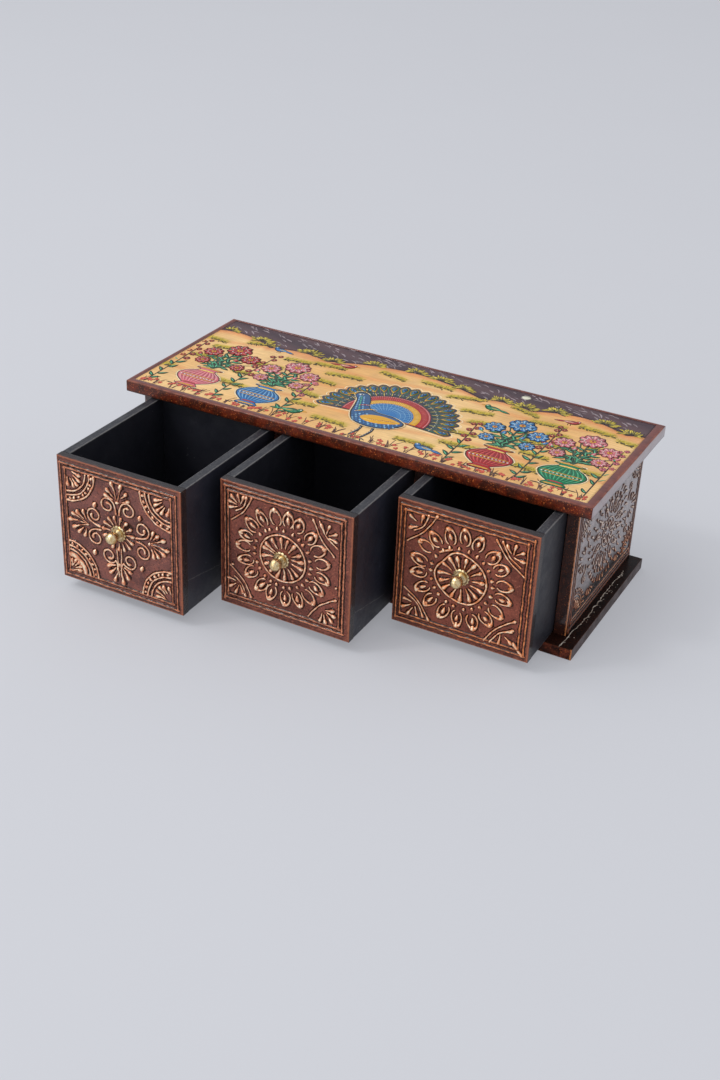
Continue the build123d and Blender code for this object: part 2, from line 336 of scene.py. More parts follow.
def front_lacquer(name, low, high, red, knob_shade=None):
    """Brown lacquer with a sharp varnish on the side that faces out, black paint elsewhere.

    The last argument is the middle, as (x, z) in mm, of a dark patch up and to the right of the knob:
    painted shade where the knob hides the front's reflection of the floor.
    """
    f = Finish(name, roughness=0.46, coat=0.38, specular=0.26, tint=COPPER_SHINE)
    cloud = f.noise(15, 4)
    ground = f.blend(f.step(cloud, 0.3, 0.7), mixed(rgb(86, 51, 48), rgb(94, 43, 32), red),
                     mixed(rgb(128, 78, 70), rgb(134, 70, 54), red))
    ground = f.specks(ground, rgb(146, 76, 58), 0.5, 8, 0.50, 0.72, (9, 2, 4), 5, 0.65)
    ground = f.specks(ground, rgb(196, 118, 90), 0.7, 1.0, 0.57, 0.70, (3, 8, 1))
    ground = f.specks(ground, rgb(38, 14, 10), 0.75, 1.2, 0.55, 0.66, (6, 1, 7))
    # painted shade: a dark patch where the knob hides the front's reflection of the floor
    if knob_shade:
        off = f.length((f.xyz[0] - knob_shade[0]) * 0.75, f.xyz[2] - knob_shade[1])
        off = off + f.noise(1.7, 4, shift=(3, 1, 1), roughness=0.7) * 4.0
        ground = f.wash(ground, rgb(30, 9, 6), 0.9, off, 5.6, 4.4)
    edge = f.edge(low, high)
    ground = f.wash(ground, rgb(52, 24, 18), 0.75, edge - f.noise(3.0, 3, shift=(8, 7, 3)) * 3.0, 1.2, -1.0)
    rub = high[0] - f.xyz[0] - f.noise(1.6, 4, shift=(1, 7, 3)) * 4.4
    ground = f.wash(ground, rgb(140, 80, 62), 0.75, rub, 0.4, -1.2)
    rub = edge - f.noise(1.5, 4, shift=(1, 7, 3)) * 2.2
    ground = f.wash(ground, rgb(170, 100, 70), 0.7, rub, 0.0, -0.6)
    board = f.blend(f.noise(20, 3), rgb(24, 23, 27), rgb(36, 35, 39))
    ragged = f.xyz[1] - low[1] - f.noise(2.6, 4, shift=(4, 4, 1)) * 3.6
    board = f.wash(board, rgb(104, 56, 42), 0.8, ragged, -0.6, -1.4)
    board = f.specks(board, rgb(72, 70, 72), 1.0, 0.9, 0.6, 0.72, (9, 4, 1), 3, 0.55)
    colour = f.blend(f.step(f.facing[1], -0.35, -0.8), board, ground)
    height = f.noise(2.2, 3, shift=(5, 1, 1)) + f.noise(0.8, 3) * f.step(edge, 4.5, 1.5, 0.7, 2.2)
    return f.done(colour, f.step(cloud, 0.2, 0.8, 0.34, 0.5), f.bump(height, 0.16))


def case_lacquer(name, low, high, coat, specular, glare_amount, glare_from, warmth=0.0):
    """Nearly black brown lacquer under varnish, with copper dust in it and a pale painted glare, a painted
    reflection, on its ends.

    The painted glare clears between the two given heights above the board's foot.
    """
    f = Finish(name, roughness=0.42, coat=coat, coat_roughness=0.12, coat_ior=1.6, specular=specular)
    cloud = f.noise(14, 4, shift=(2, 2, 2))
    ground = f.blend(f.step(cloud, 0.3, 0.7), rgb(16, 8, 6), rgb(38, 17, 12))
    # painted glare: a pale reflection of the surroundings, painted on the end faces and clearing low down
    painted_glare = f.blend(f.step(f.noise(7, 4, shift=(6, 2, 2)), 0.3, 0.7), rgb(104, 88, 86), rgb(164, 148, 150))
    ragged = f.xyz[2] + f.noise(12, 3, shift=(1, 1, 4)) * 8
    ends = f.step(abs(f.facing[0]), 0.4, 0.85)
    ground = f.wash(ground, painted_glare, ends * glare_amount, ragged, low[2] + glare_from[0], low[2] + glare_from[1])
    front = f.step(f.facing[1], -0.4, -0.85)
    brown = f.blend(f.step(f.noise(4, 4, shift=(7, 3, 1)), 0.35, 0.68), rgb(44, 18, 12),
                    mixed(rgb(66, 30, 20), rgb(118, 56, 38), warmth))
    ground = f.blend(front, ground, brown)
    thick = f.step(f.noise(5, 3, shift=(1, 4, 9)), 0.38, 0.62, 0.1, 1.0)
    thick = thick * f.step(front, 0.0, 1.0, 0.16, 0.9)
    ground = f.specks(ground, rgb(196, 100, 46), thick, 0.9, 0.56, 0.67, (3, 8, 1))
    ground = f.specks(ground, rgb(11, 6, 5), 0.8, 1.0, 0.55, 0.66, (6, 1, 7))
    arris = f.edge(low, high) - f.noise(2.4, 4, shift=(2, 5, 8)) * 1.5
    ground = f.wash(ground, rgb(120, 76, 54), 0.15, arris, 0.0, -0.5)
    chip = f.most(high[0] - f.xyz[0], f.xyz[1] - low[1])
    chip = chip - f.noise(1.6, 4, shift=(3, 3, 7), roughness=0.7) * 2.0
    ground = f.wash(ground, rgb(206, 128, 76), 0.8, chip, -0.1, -0.6)
    height = f.noise(3.0, 3, shift=(5, 1, 1)) + f.noise(0.9, 3) * (front * 1.1 + 0.4)
    return f.done(ground, f.step(cloud, 0.2, 0.8, 0.36, 0.54), f.bump(height, 0.18))


def relief_copper(name, tint, foot=COPPER_GLAZE_AND_SHADE, pale=COPPER_HIGHLIGHT, dark=0.0, low=None):
    """Copper rubbed over the piped relief: dark glaze and painted shade at its foot, a painted highlight
    along its crest.

    It turns warmer below a height of about 18 to 36 mm over low.
    """
    f = Finish(name, metallic=0.4, coat=0.44, coat_roughness=0.08, coat_ior=1.6, specular=0.3,
               tint=COPPER_SHINE)
    crest = f.stored("crest")
    worn = f.noise(2.6, 5, shift=(4, 1, 6), roughness=0.68)
    height = f.least(crest + (worn - 0.5) * 1.05, crest * 1.7) - dark
    # the dark foot of each run is dark glaze and painted shade in the recess round it
    brown = mixed(foot, COPPER_DARK, 0.85)
    colour = f.blend(f.step(height, 0.16, 0.56), foot, brown)
    if low is not None:
        warm = f.step(f.xyz[2] + f.noise(9, 2) * 8, low + 36, low + 18)
        tint = f.blend(warm, tint, rgb(150, 86, 58))
        pale = f.blend(warm, pale, rgb(236, 184, 142))
    colour = f.blend(f.step(height, 0.48, 0.84), colour, tint)
    # painted highlight: the highest part of the crest turns pale
    colour = f.blend(f.step(height, 0.83, 1.07), colour, pale)
    # painted glints: small near-white highlights on the crests
    painted_glint = f.step(f.noise(1.7, 2, shift=(5, 3, 3)), 0.58, 0.65)
    colour = f.wash(colour, rgb(255, 236, 210), painted_glint, crest, 0.86, 0.97)
    colour = f.specks(colour, brown, 0.45, 0.7, 0.56, 0.68, (1, 1, 8), 2, 0.55)
    metal = f.step(height, 0.45, 0.85, 0.0, 0.5)
    return f.done(colour, f.step(worn, 0.2, 0.8, 0.26, 0.46), f.bump(f.noise(0.9, 3), 0.10), metal)


def aged_brass(name, low, high, ball):
    """Lacquered brass with brown tarnish in its hollows, painted dark reflections at its grazing edges and
    painted shade on its lower part.

    low and high are the rosette's corners, ball the y of its knob's tip.
    """
    f = Finish(name, roughness=0.26, metallic=1.0)
    cloud = f.noise(2.2, 4)
    colour = f.blend(f.step(cloud, 0.3, 0.7), rgb(226, 190, 130), rgb(252, 234, 190))
    colour = f.specks(colour, rgb(120, 82, 40), 0.8, 1.0, 0.50, 0.66, (7, 7, 1), 5)
    # painted reflection: darker brown towards the grazing edges, for the dark things the brass would mirror
    colour = f.wash(colour, rgb(88, 52, 24), 0.75, f.add("LayerWeight", output="Facing"), 0.45, 0.9)
    off_z = f.xyz[2] - (low[2] + high[2]) / 2
    away = f.length(f.xyz[0] - (low[0] + high[0]) / 2, off_z)
    away = away + (f.noise(1.6, 3, shift=(2, 1, 1)) - 0.5) * 0.9
    hollow = f.most(f.step(away, 2.9, 1.9), f.step(away, 3.2, 3.8) * f.step(away, 4.5, 4.0))
    colour = f.wash(colour, rgb(92, 56, 26), hollow * 0.5, f.xyz[1], ball + 3.4, ball + 6.4)
    # painted shade: the knob is darker below the rosette's middle
    lower_shade = f.step(cloud, 0.2, 0.6, 0.6, 1.0) * 0.35
    colour = f.wash(colour, rgb(140, 98, 54), lower_shade, off_z, 0.2, -3.4)
    rough = f.step(f.noise(1.4, 4, shift=(2, 8, 2)), 0.25, 0.8, 0.20, 0.42)
    return f.done(colour, rough, f.bump(f.noise(0.8, 3), 0.12))


def plain_steel(name):
    f = Finish(name, metallic=1.0)
    cloud = f.noise(1.5, 4)
    colour = f.blend(cloud, rgb(142, 140, 136), rgb(186, 184, 180))
    return f.done(colour, f.step(cloud, 0.2, 0.8, 0.26, 0.44), f.bump(f.noise(0.5, 2), 0.02))


def chalk(name):
    f = Finish(name, roughness=0.7)
    colour = f.blend(f.step(f.noise(1.6, 3), 0.35, 0.65), rgb(150, 132, 118), rgb(226, 216, 204))
    return f.done(colour, 0.7, f.bump(f.noise(0.4, 2), 0.03))


def top_lacquer(foot_z):
    """Maroon lacquer of the top's border, redder and grainier on the front edge, dark at its foot."""
    f = Finish("top_lacquer", coat=0.3, coat_roughness=0.12, specular=0.25)
    cloud = f.noise(12, 4)
    up = f.step(f.facing[2], 0.5, 0.9)
    flat = f.blend(f.step(cloud, 0.3, 0.7), rgb(86, 38, 32), rgb(112, 54, 46))
    streak = f.noise(1.4, 3, stretch=(0.2, 1, 1), shift=(3, 1, 2))
    flat = f.wash(flat, rgb(140, 78, 66), 0.4, streak, 0.5, 0.75)
    side = f.blend(f.step(f.noise(6, 4, shift=(4, 2, 6)), 0.36, 0.66), rgb(54, 14, 5), rgb(106, 33, 10))
    side = f.specks(side, rgb(222, 120, 58), 0.9, 0.9, 0.58, 0.68, (3, 8, 1))
    side = f.specks(side, rgb(22, 6, 3), 0.85, 1.0, 0.54, 0.64, (6, 1, 7))
    # painted glare: a pale painted reflection on the board's end edges
    painted_glare = f.step(cloud, 0.2, 0.6, 0.6, 0.92)
    side = f.wash(side, rgb(190, 182, 187), painted_glare, abs(f.facing[0]), 0.5, 0.9)
    colour = f.blend(up, side, flat)
    wear = f.stored("crest") * 0.42
    colour = f.wash(colour, rgb(186, 112, 80), wear, f.noise(5, 4, shift=(2, 5, 8)), 0.30, 0.66)
    colour = f.wash(colour, rgb(26, 9, 5), f.step(up, 1.0, 0.0) * 0.6, f.xyz[2], foot_z + 1.5, foot_z + 0.3)
    height = f.noise(3, 3, shift=(5, 1, 1)) + f.noise(0.9, 3) * f.step(up, 0.0, 1.0, 1.6, 0.35)
    return f.done(colour, f.step(cloud, 0.2, 0.8, 0.34, 0.5), f.bump(height, 0.15))


def paint_material(name, streaks, grain=0.03):
    """Opaque watercolour and gouache: the colour stored on the mesh, varied by brush marks."""
    f = Finish(name, coat=0.15, coat_roughness=0.2, specular=0.22)
    line = f.noise(1.0, 4, stretch=(0.07, 1.1, 1), roughness=0.6)
    cloud = f.noise(9, 3, shift=(4, 3, 2))
    tone = f.step(line, 0.28, 0.74, 1 - streaks, 1 + streaks * 0.55)
    tone = tone * f.step(cloud, 0.25, 0.75, 1 - streaks * 0.5, 1 + streaks * 0.4)
    colour = f.add("VectorMath", {0: f.stored("paint", "Color"), "Scale": tone}, operation="SCALE")
    return f.done(colour, f.step(cloud, 0.2, 0.8, 0.42, 0.6), f.bump(line + f.noise(0.5, 2), grain))


# ---------------------------------------------------------------- curves

CURVE_STEP = 0.7


def spline(points, step=CURVE_STEP, closed=False):
    """Points about step apart on a smooth curve through the given ones."""
    n = len(points)
    out = []
    for i in range(n if closed else n - 1):
        p0, p1, p2, p3 = (points[(i + k) % n if closed else clamp(i + k, 0, n - 1)] for k in (-1, 0, 1, 2))
        count = max(2, round(math.dist(p1, p2) / step))
        for k in range(count):
            t = k / count
            out.append(tuple(
                0.5 * (2 * b + (c - a) * t + (2 * a - 5 * b + 4 * c - d) * t * t
                       + (3 * b - a - 3 * c + d) * t ** 3)
                for a, b, c, d in zip(p0, p1, p2, p3)))
    return out if closed else out + [tuple(points[-1])]


def turned(origin, a, ahead, left):
    """The point that lies this far ahead and to the left of origin, when ahead is at a radians."""
    return (origin[0] + math.cos(a) * ahead - math.sin(a) * left,
            origin[1] + math.sin(a) * ahead + math.cos(a) * left)


def polar(centre, radius, degrees):
    return turned(centre, math.radians(degrees), radius, 0)


def heading(a, b):
    return math.degrees(math.atan2(b[1] - a[1], b[0] - a[0]))


def arc(centre, radius, start, end):
    count = max(4, round(abs(math.radians(end - start)) * radius / CURVE_STEP))
    return [polar(centre, radius, start + (end - start) * k / count) for k in range(count + 1)]


def spiral(centre, r0, r1, start, turn, bend, count=40):
    """A curl that begins at angle start with radius r0 and winds in to r1."""
    return [polar(centre, r0 + (r1 - r0) * (k / count) ** bend, start + turn * k / count)
            for k in range(count + 1)]


def turns(count, start=0, sweep=360, at=0.5):
    """The angles of count things spread over sweep degrees."""
    return [start + sweep * (k + at) / count for k in range(count)]


def sideways(path, i, closed=False):
    """Unit vector to the left of the path at its point i."""
    n = len(path)
    a, b = path[i - 1 if closed else max(i - 1, 0)], path[(i + 1) % n if closed else min(i + 1, n - 1)]
    size = math.dist(a, b) or 1.0
    return -(b[1] - a[1]) / size, (b[0] - a[0]) / size


def grown(outline, x, y, factor):
    return [(x + (px - x) * factor, y + (py - y) * factor) for px, py in outline]


def moved(x, y, *offsets):
    return [(x + dx, y + dy) for dx, dy in offsets]


def hand(rng, reach, amount):
    """A slow wander along a stroke, as a hand gives it."""
    waves = [(rng.uniform(0.6, 1.6) * math.tau / reach, rng.uniform(0, math.tau), rng.uniform(0.4, 1.0))
             for _ in range(3)]
    return lambda s: amount * sum(a * math.sin(f * s + p) for f, p, a in waves) / 1.6


# ---------------------------------------------------------------- meshes and piped relief

RELIEF_SIDES = 8
SKIRT_FOOT = -0.012
TUBE_LIFT = 0.05
THIN_SKIRT = 0.3  # radius under which a run's skirt narrows
# a run thinner than THIN_CREST gets a lower crest value, so less painted highlight on it
THIN_CREST = 0.4  # radius under which a run is rubbed less
PIPE_ENDS = ((0.5, 0.87), (0.86, 0.5), (1.0, 0.12))  # how far out a rounded end is how wide
DROP_STEPS = 14
DOT_STEPS = 8
LINE_WIDTH = 1.25
LINE_RISE = 0.62


class Pile:
    """Points and faces that become one piece. Each point has a crest value and a paint colour."""

    def __init__(self, rng, place=None, skirt=0.72):
        self.rng = rng
        self.place = place or (lambda u, v, h: (u, v, h))
        self.skirt = skirt
        self.points, self.faces, self.crests, self.paints = [], [], [], []

    def add(self, u, v, h, crest=0.0, paint=(1, 1, 1)):
        self.points.append(self.place(u, v, h))
        self.crests.append(crest)
        self.paints.append(paint)
        return len(self.points) - 1

    def join(self, one, two):
        """Faces between two closed rings of points."""
        n = len(one)
        self.faces += [(one[k], one[(k + 1) % n], two[(k + 1) % n], two[k]) for k in range(n)]

    def make(self, name, body, slot, material):
        mesh = bpy.data.meshes.new(name)
        mesh.from_pydata([tuple(c * MM for c in p) for p in self.points], [], self.faces)
        mesh.attributes.new("crest", "FLOAT", "POINT").data.foreach_set("value", self.crests)
        flat = [c for paint in self.paints for c in (*paint, 1.0)]
        mesh.attributes.new("paint", "FLOAT_COLOR", "POINT").data.foreach_set("color", flat)
        shape = bmesh.new()
        shape.from_mesh(mesh)
        bmesh.ops.recalc_face_normals(shape, faces=shape.faces)
        shape.to_mesh(mesh)
        shape.free()
        mesh.polygons.foreach_set("use_smooth", [True] * len(mesh.polygons))
        mesh.materials.append(material)
        piece = linked(name, mesh)
        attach(piece, body)
        return piece

    def tube(self, path, radii, rise=1.0, closed=False, shine=1.0):
        """A closed half-round run of paste along the path, with a thin skirt round its foot; the relief's
        material gives that foot dark glaze and painted shade.
        """
        rings = []
        for i, (u, v) in enumerate(path):
            su, sv = sideways(path, i, closed)
            r = radii[i]
            out = r + self.skirt * clamp(r / THIN_SKIRT) * (0.9 + 0.35 * math.sin(1.9 * u + 2.7 * v))
            ring = [self.add(u + su * out, v + sv * out, SKIRT_FOOT)]
            for k in range(RELIEF_SIDES + 1):
                t = math.pi * k / RELIEF_SIDES
                wide, high = math.cos(t) * r, max(0.0, math.sin(t) * r * rise) + TUBE_LIFT
                crest = math.sin(t) * clamp(r / THIN_CREST) * shine
                ring.append(self.add(u + su * wide, v + sv * wide, high, crest))
            ring.append(self.add(u - su * out, v - sv * out, SKIRT_FOOT))
            rings.append(ring)
        for one, two in zip(rings, rings[1:] + rings[:1] if closed else rings[1:]):
            self.join(one, two)
        if not closed:
            self.faces += [tuple(rings[0]), tuple(rings[-1])]

    def pipe(self, path, width=1.2, rise=1.05, start=1.0, end=1.0, shake=0.10, closed=False, shine=1.0):
        """A piped line with rounded ends; start and end swell or thin those ends."""
        wander, swell = hand(self.rng, 11, shake), hand(self.rng, 6, 0.20)
        run = [0.0]
        for a, b in zip(path, path[1:]):
            run.append(run[-1] + math.dist(a, b))
        line, radii = [], []
        for i, (u, v) in enumerate(path):
            su, sv = sideways(path, i)
            shift = 0.0 if closed else wander(run[i])
            line.append((u + su * shift, v + sv * shift))
            near = 1 + (start - 1) * math.exp(-((run[i] / (width * 1.1)) ** 2))
            near *= 1 + (end - 1) * math.exp(-(((run[-1] - run[i]) / (width * 1.1)) ** 2))
            radii.append(width / 2 * (1 + swell(run[i])) * near)
        for at, other in () if closed else ((0, 1), (-1, -2)):
            r, tip, inner = radii[at], line[at], line[other]
            size = math.dist(tip, inner) or 1.0
            for out, narrow in PIPE_ENDS:
                where = len(line) if at else 0
                line.insert(where, mixed(tip, inner, -r * out / size))
                radii.insert(where, r * narrow)
        self.tube(line, radii, rise, closed, shine)

    def drop(self, u, v, degrees, length, width, rise=1.05, ball=False):
        """A touch of paste whose round end sits at (u, v) and whose tail points back along degrees."""
        rng = self.rng
        a = math.radians(degrees + rng.uniform(-5, 5))
        length *= rng.uniform(0.9, 1.12)
        width *= rng.uniform(0.88, 1.14)
        bow = rng.uniform(-0.06, 0.06) * length
        bead = clamp(0.5 * width / length, 0.12, 0.3)
        path, radii = [], []
        for k in range(DROP_STEPS + 1):
            s = 0.5 - 0.5 * math.cos(math.pi * k / DROP_STEPS)
            path.append(turned((u, v), a, (s - 0.72) * length, bow * math.sin(math.pi * s)))
            fade = math.sin(math.pi * min(1, s * 5 + 0.02) / 2)
            if ball:
                neck = (0.34 + 0.22 * s) * fade * (1 if s < 1 - bead else 0)
                body = max(neck, math.sqrt(max(0.0, 1 - ((s - 1 + bead) / bead) ** 2)))
                if s <= 1 - bead:
                    body = max(body, 0.62 * soft_step(s, 0.35, 1 - 1.6 * bead) + 0.2)
            else:
                body = math.sin(math.pi * clamp(s, 0.004, 0.996) ** 1.55) ** 0.85 + 0.34 * (1 - s) * fade
            radii.append(max(0.05, width / 2 * body))
        radii[0] = radii[-1] = 0.05
        self.tube(path, radii, rise)

    def bead(self, centre, radius, turn, length, width, lean=0, ball=True):
        """A drop that stands on a circle and points out of it, turned by lean."""
        self.drop(*polar(centre, radius, turn), turn + lean, length, width, ball=ball)

    def dot(self, u, v, size=2.3, rise=1.1):
        size *= self.rng.uniform(0.85, 1.2)
        a = self.rng.uniform(0, math.tau)
        angles = [math.pi * k / DOT_STEPS for k in range(DOT_STEPS + 1)]
        self.tube([turned((u, v), a, -math.cos(t) * size / 2 * 1.08, 0) for t in angles],
                  [max(0.04, size / 2 * math.sin(t)) for t in angles], rise)

    def frame_lines(self, low, high, *frames):
        """Piped lines round the field, crossing a little at the corners.

        Each frame is how far in its sides stand: left, top, right, bottom.
        """
        uniform = self.rng.uniform
        for left, top, right, bottom in frames:
            x0, x1, y0, y1 = low[0] + left, high[0] - right, low[1] + bottom, high[1] - top
            loop = ((x0, y0), (x0, y1), (x1, y1), (x1, y0), (x0, y0))
            for a, b in zip(loop, loop[1:]):
                size = math.dist(a, b)
                begin = mixed(a, b, -uniform(0.0, 0.7) / size)
                count = round(size / 1.1)
                path = [mixed(begin, b, k / count) for k in range(count + 1)]
                self.pipe(path, LINE_WIDTH, LINE_RISE, start=uniform(1.2, 2.0), end=uniform(1.0, 1.6),
                          shake=0.13, shine=0.72)


def arm(pile, origin, degrees, count, vertex, stems):
    """Two curls and a fan of drops that point away from the middle of the front."""
    rng = pile.rng

    def local(ahead, left):
        return turned(origin, math.radians(degrees), ahead, left)

    for way in (-1, 1):
        middle = local(16.4 + rng.uniform(-0.4, 0.4), way * (6.9 + rng.uniform(-0.3, 0.3)))
        curl = spiral(middle, 4.9, 1.7, degrees - way * 62, way * 425, 1.3)
        join, neck = (24.0, 20.5) if stems else (12.6, 16.0)
        path = spline([local(join, way * 1.1), local(neck, way * 1.6), curl[0]], 0.6)[:-1] + curl
        pile.pipe(path, 1.3, 0.95, start=1.35, end=1.7, shake=0.08)
    for way in (-1, 1) if stems else ():
        path = spline([local(9.5, way * 1.6), local(18, way * 1.25), local(28.5, way * 0.7)])
        pile.pipe(path, 1.0, 0.9, start=0.8, end=1.1)
    for k in range(count):
        turn = 70 - 140 * k / (count - 1) + rng.uniform(-3, 3)
        reach = 7.6 + 4.2 * math.cos(math.radians(turn)) ** 4
        pile.bead(local(vertex, 0), reach, degrees + turn, 6.6, 3.1)
        if abs(turn) < 40:
            root = polar(local(vertex - 0.6, 0), 1.2, degrees + turn)
            pile.pipe(spline([root, polar(local(vertex, 0), reach - 3, degrees + turn)], 0.8), 0.7, 0.8)
    pile.dot(*local(vertex, 0), 2.2)


def corner_fan(pile, corner, start, band):
    """A quarter circle of arcs and dots with a few drops inside it."""
    end = start + 90
    pile.pipe(arc(corner, 20.2, start + 2, end - 2), 1.35, 0.95, start=1.4, end=1.3)
    pile.pipe(arc(corner, 16.8, start + 2, end - 2), 1.25, 0.95, end=1.2)
    pile.pipe(arc(corner, 14.2, start + 3, end - 3), 1.25, 0.95, start=1.3)
    for k in range(8):
        pile.dot(*polar(corner, 18.5, start + 8 + k * 10.6 + pile.rng.uniform(-1.6, 1.6)), 1.9)
    if band:
        pile.pipe(arc(corner, 10.6, start + 6, end - 6), 4.2, 0.28, shake=0.3)
    for turn, reach in ((12, 9.4), (29, 10.6), (45, 11.2), (61, 10.6), (78, 9.4)):
        pile.bead(corner, reach - (2.6 if band else 0), start + turn, 6.8, 2.8)


def petal(pile, centre, middle_radius, degrees, length, width, weight):
    """An open drop drawn as a loop, thick at its outer tip, with a small drop inside."""
    rng = pile.rng
    middle = polar(centre, middle_radius, degrees)
    a = math.radians(degrees + rng.uniform(-7, 7))
    count = 30
    begin = math.pi + rng.uniform(0.25, 0.55)
    sweep = math.tau - rng.uniform(0.35, 0.8)
    way = rng.choice((-1, 1))
    phase = rng.uniform(0, math.tau)
    path, radii = [], []
    for k in range(count + 1):
        t = begin + sweep * k / count
        left = way * math.sin(t) * width / 2 * (1 - 0.12 * math.cos(t))
        path.append(turned(middle, a, math.cos(t) * length / 2, left))
        tip = max(0.0, math.cos(t)) ** 4
        radii.append((0.56 + 0.80 * tip) * weight * (1 + 0.16 * math.sin(3.1 * t + phase)))
    radii[0] = radii[-1] = 0.16
    radii[1] = radii[-2] = 0.40 * weight
    pile.tube(path, radii, 1.05)
    out = math.degrees(a)
    tip = polar(middle, length / 2 + 0.35, out + rng.uniform(-8, 8))
    pile.drop(*tip, out, 3.5 * weight, 3.2 * weight, 0.9)
    if rng.random() < 0.85:
        pile.drop(*polar(middle, 0.8, out), out + rng.uniform(-14, 14), length * rng.uniform(0.42, 0.58),
                  2.5 * weight)


def mandala(pile, centre, ring, petals, petal_radius, drops=16, dots=25, wobble=0.0,
            petal_size=(9.6, 6.4), weight=1.0):
    """A ring round the knob with drops inside, dots outside and a wreath of open petals."""
    uniform = pile.rng.uniform
    bend = hand(pile.rng, 20, wobble)
    path = [polar(centre, ring + bend(a * 0.25) * math.sin(math.radians(a / 2)), a)
            for a in range(0, 360, 3)]
    pile.pipe(path, 1.35 * weight, 1.0, closed=True)
    for turn in turns(drops, at=0.3):
        pile.bead(centre, ring - 3.2, turn + uniform(-3, 3), 8.0 * ring / 14.6, 2.9 * weight)
    for turn in turns(dots, at=0):
        turn += uniform(-2.5, 2.5)
        pile.bead(centre, ring + 3.1 + uniform(-0.3, 0.3), turn, 2.6 * weight, 2.1 * weight, 180, False)
    for turn in turns(petals, at=0.45):
        turn += uniform(-2, 2)
        petal(pile, centre, petal_radius + uniform(-0.5, 0.5), turn, petal_size[0] * uniform(0.93, 1.06),
              petal_size[1] * uniform(0.9, 1.08), weight)


def corner_spray(pile, a, b, corner, drops, second=None):
    """A bowed line across a corner, sometimes two, with drops fanning towards the corner."""
    for start, end in filter(None, ((a, b), second)):
        middle = mixed(start, end, 0.5)
        top = mixed(middle, (0, 0), 1.9 / math.hypot(*middle))
        pile.pipe(spline([start, top, end]), 1.05, 0.9, start=2.1, end=1.3)
    foot = mixed(a, b, 0.5)
    out = heading(foot, corner)
    root = polar(foot, 1.6, out)
    for k in range(drops):
        turn = -62 + 124 * k / (drops - 1)
        reach = 7.4 - 1.4 * abs(turn) / 62 + pile.rng.uniform(-0.5, 0.5)
        pile.bead(root, reach, out + turn, 6.8, 2.6)


FRONT_HIGH = (42.25, 39.9)
FRONT_LOW = (-42.25, -39.9)


def front_pile(side, seed, *frames):
    """Begins a front's relief: u to the right, v up, h out of the face."""
    low, high = corners(side + "_drawer_front")
    middle_x, middle_z = (low[0] + high[0]) / 2, (low[2] + high[2]) / 2
    pile = Pile(random.Random(seed), lambda u, v, h: (middle_x + u, low[1] - h, middle_z + v))
    pile.frame_lines(FRONT_LOW, FRONT_HIGH, *frames)
    return pile


def left_front():
    pile = front_pile("left", 11, (2.2, 3.9, 3.4, 2.7), (5.4, 6.4, 6.6, 5.9))
    knob = (-0.7, 1.0)
    for degrees, count, vertex in ((90, 6, 20.2), (0, 7, 21.5), (180, 7, 21.5), (270, 6, 20.2)):
        arm(pile, knob, degrees, count, vertex, degrees == 270)
    for turn in turns(15, 6, at=0):
        pile.bead(knob, 9.8, turn, 6.2, 2.6)
    for at in ((-16.1, 16.0), (14.6, 16.4), (-17.9, -15.4), (15.3, -16.5)):
        pile.drop(*at, 80, 4.6, 3.0)
    for corner, start in (((-36.5, 33.2), 270), ((35.4, 33.2), 180), ((35.4, -33.8), 90),
                          ((-36.5, -33.8), 0)):
        corner_fan(pile, corner, start, start == 0)
    return pile


def middle_front():
    pile = front_pile("middle", 23, (3.2, 3.0, 4.6, 4.2), (5.3, 5.6, 6.9, 7.0))
    mandala(pile, (-1.1, 1.2), 14.6, 19, 25.2)
    corner_spray(pile, (-21.6, 33.2), (-34.8, 16.4), (-37, 35), 5, ((-25.0, 32.6), (-31.5, 23.0)))
    corner_spray(pile, (18.0, 31.6), (31.4, 12.6), (34, 33.5), 4, ((21.9, 31.6), (33.0, 18.6)))
    corner_spray(pile, (33.0, -14.8), (16.0, -30.6), (35, -33), 5)
    corner_spray(pile, (-21.6, -30.4), (-35.6, -13.4), (-37, -33), 4, ((-25.4, -30.8), (-32.8, -20.0)))
    pile.dot(-33.9, -12.4, 1.5)
    pile.dot(33.2, -6.8, 1.5)
    return pile


def right_front():
    pile = front_pile("right", 37, (2.4, 3.4, 3.0, 3.6), (5.0, 6.2, 6.4, 6.6))
    mandala(pile, (-1.1, 0.6), 15.2, 18, 25.9, drops=15, dots=22, wobble=1.0)
    corner_spray(pile, (-18.0, 34.6), (-35.0, 15.0), (-37, 34), 3, ((-23.0, 33.6), (-31.0, 22.6)))
    corner_spray(pile, (17.8, 31.2), (35.2, 13.6), (34, 33), 4, ((21.5, 31.0), (32.6, 18.6)))
    corner_spray(pile, (32.6, -15.8), (15.4, -33.6), (35, -33), 3, ((32.0, -21.8), (19.0, -33.4)))
    corner_spray(pile, (-19.2, -32.0), (-35.0, -15.2), (-37, -33), 4, ((-22.8, -30.8), (-32.4, -19.6)))
    pile.pipe([(33.2, -30.4), (35.6, -33.2), (38.4, -36.0)], 2.2, 0.5, start=1.3, end=1.2)
    pile.pipe(spline([(-14.8, 13.6), (-11.6, 15.6), (-8.2, 17.0)]), 1.7, 0.5)
    return pile


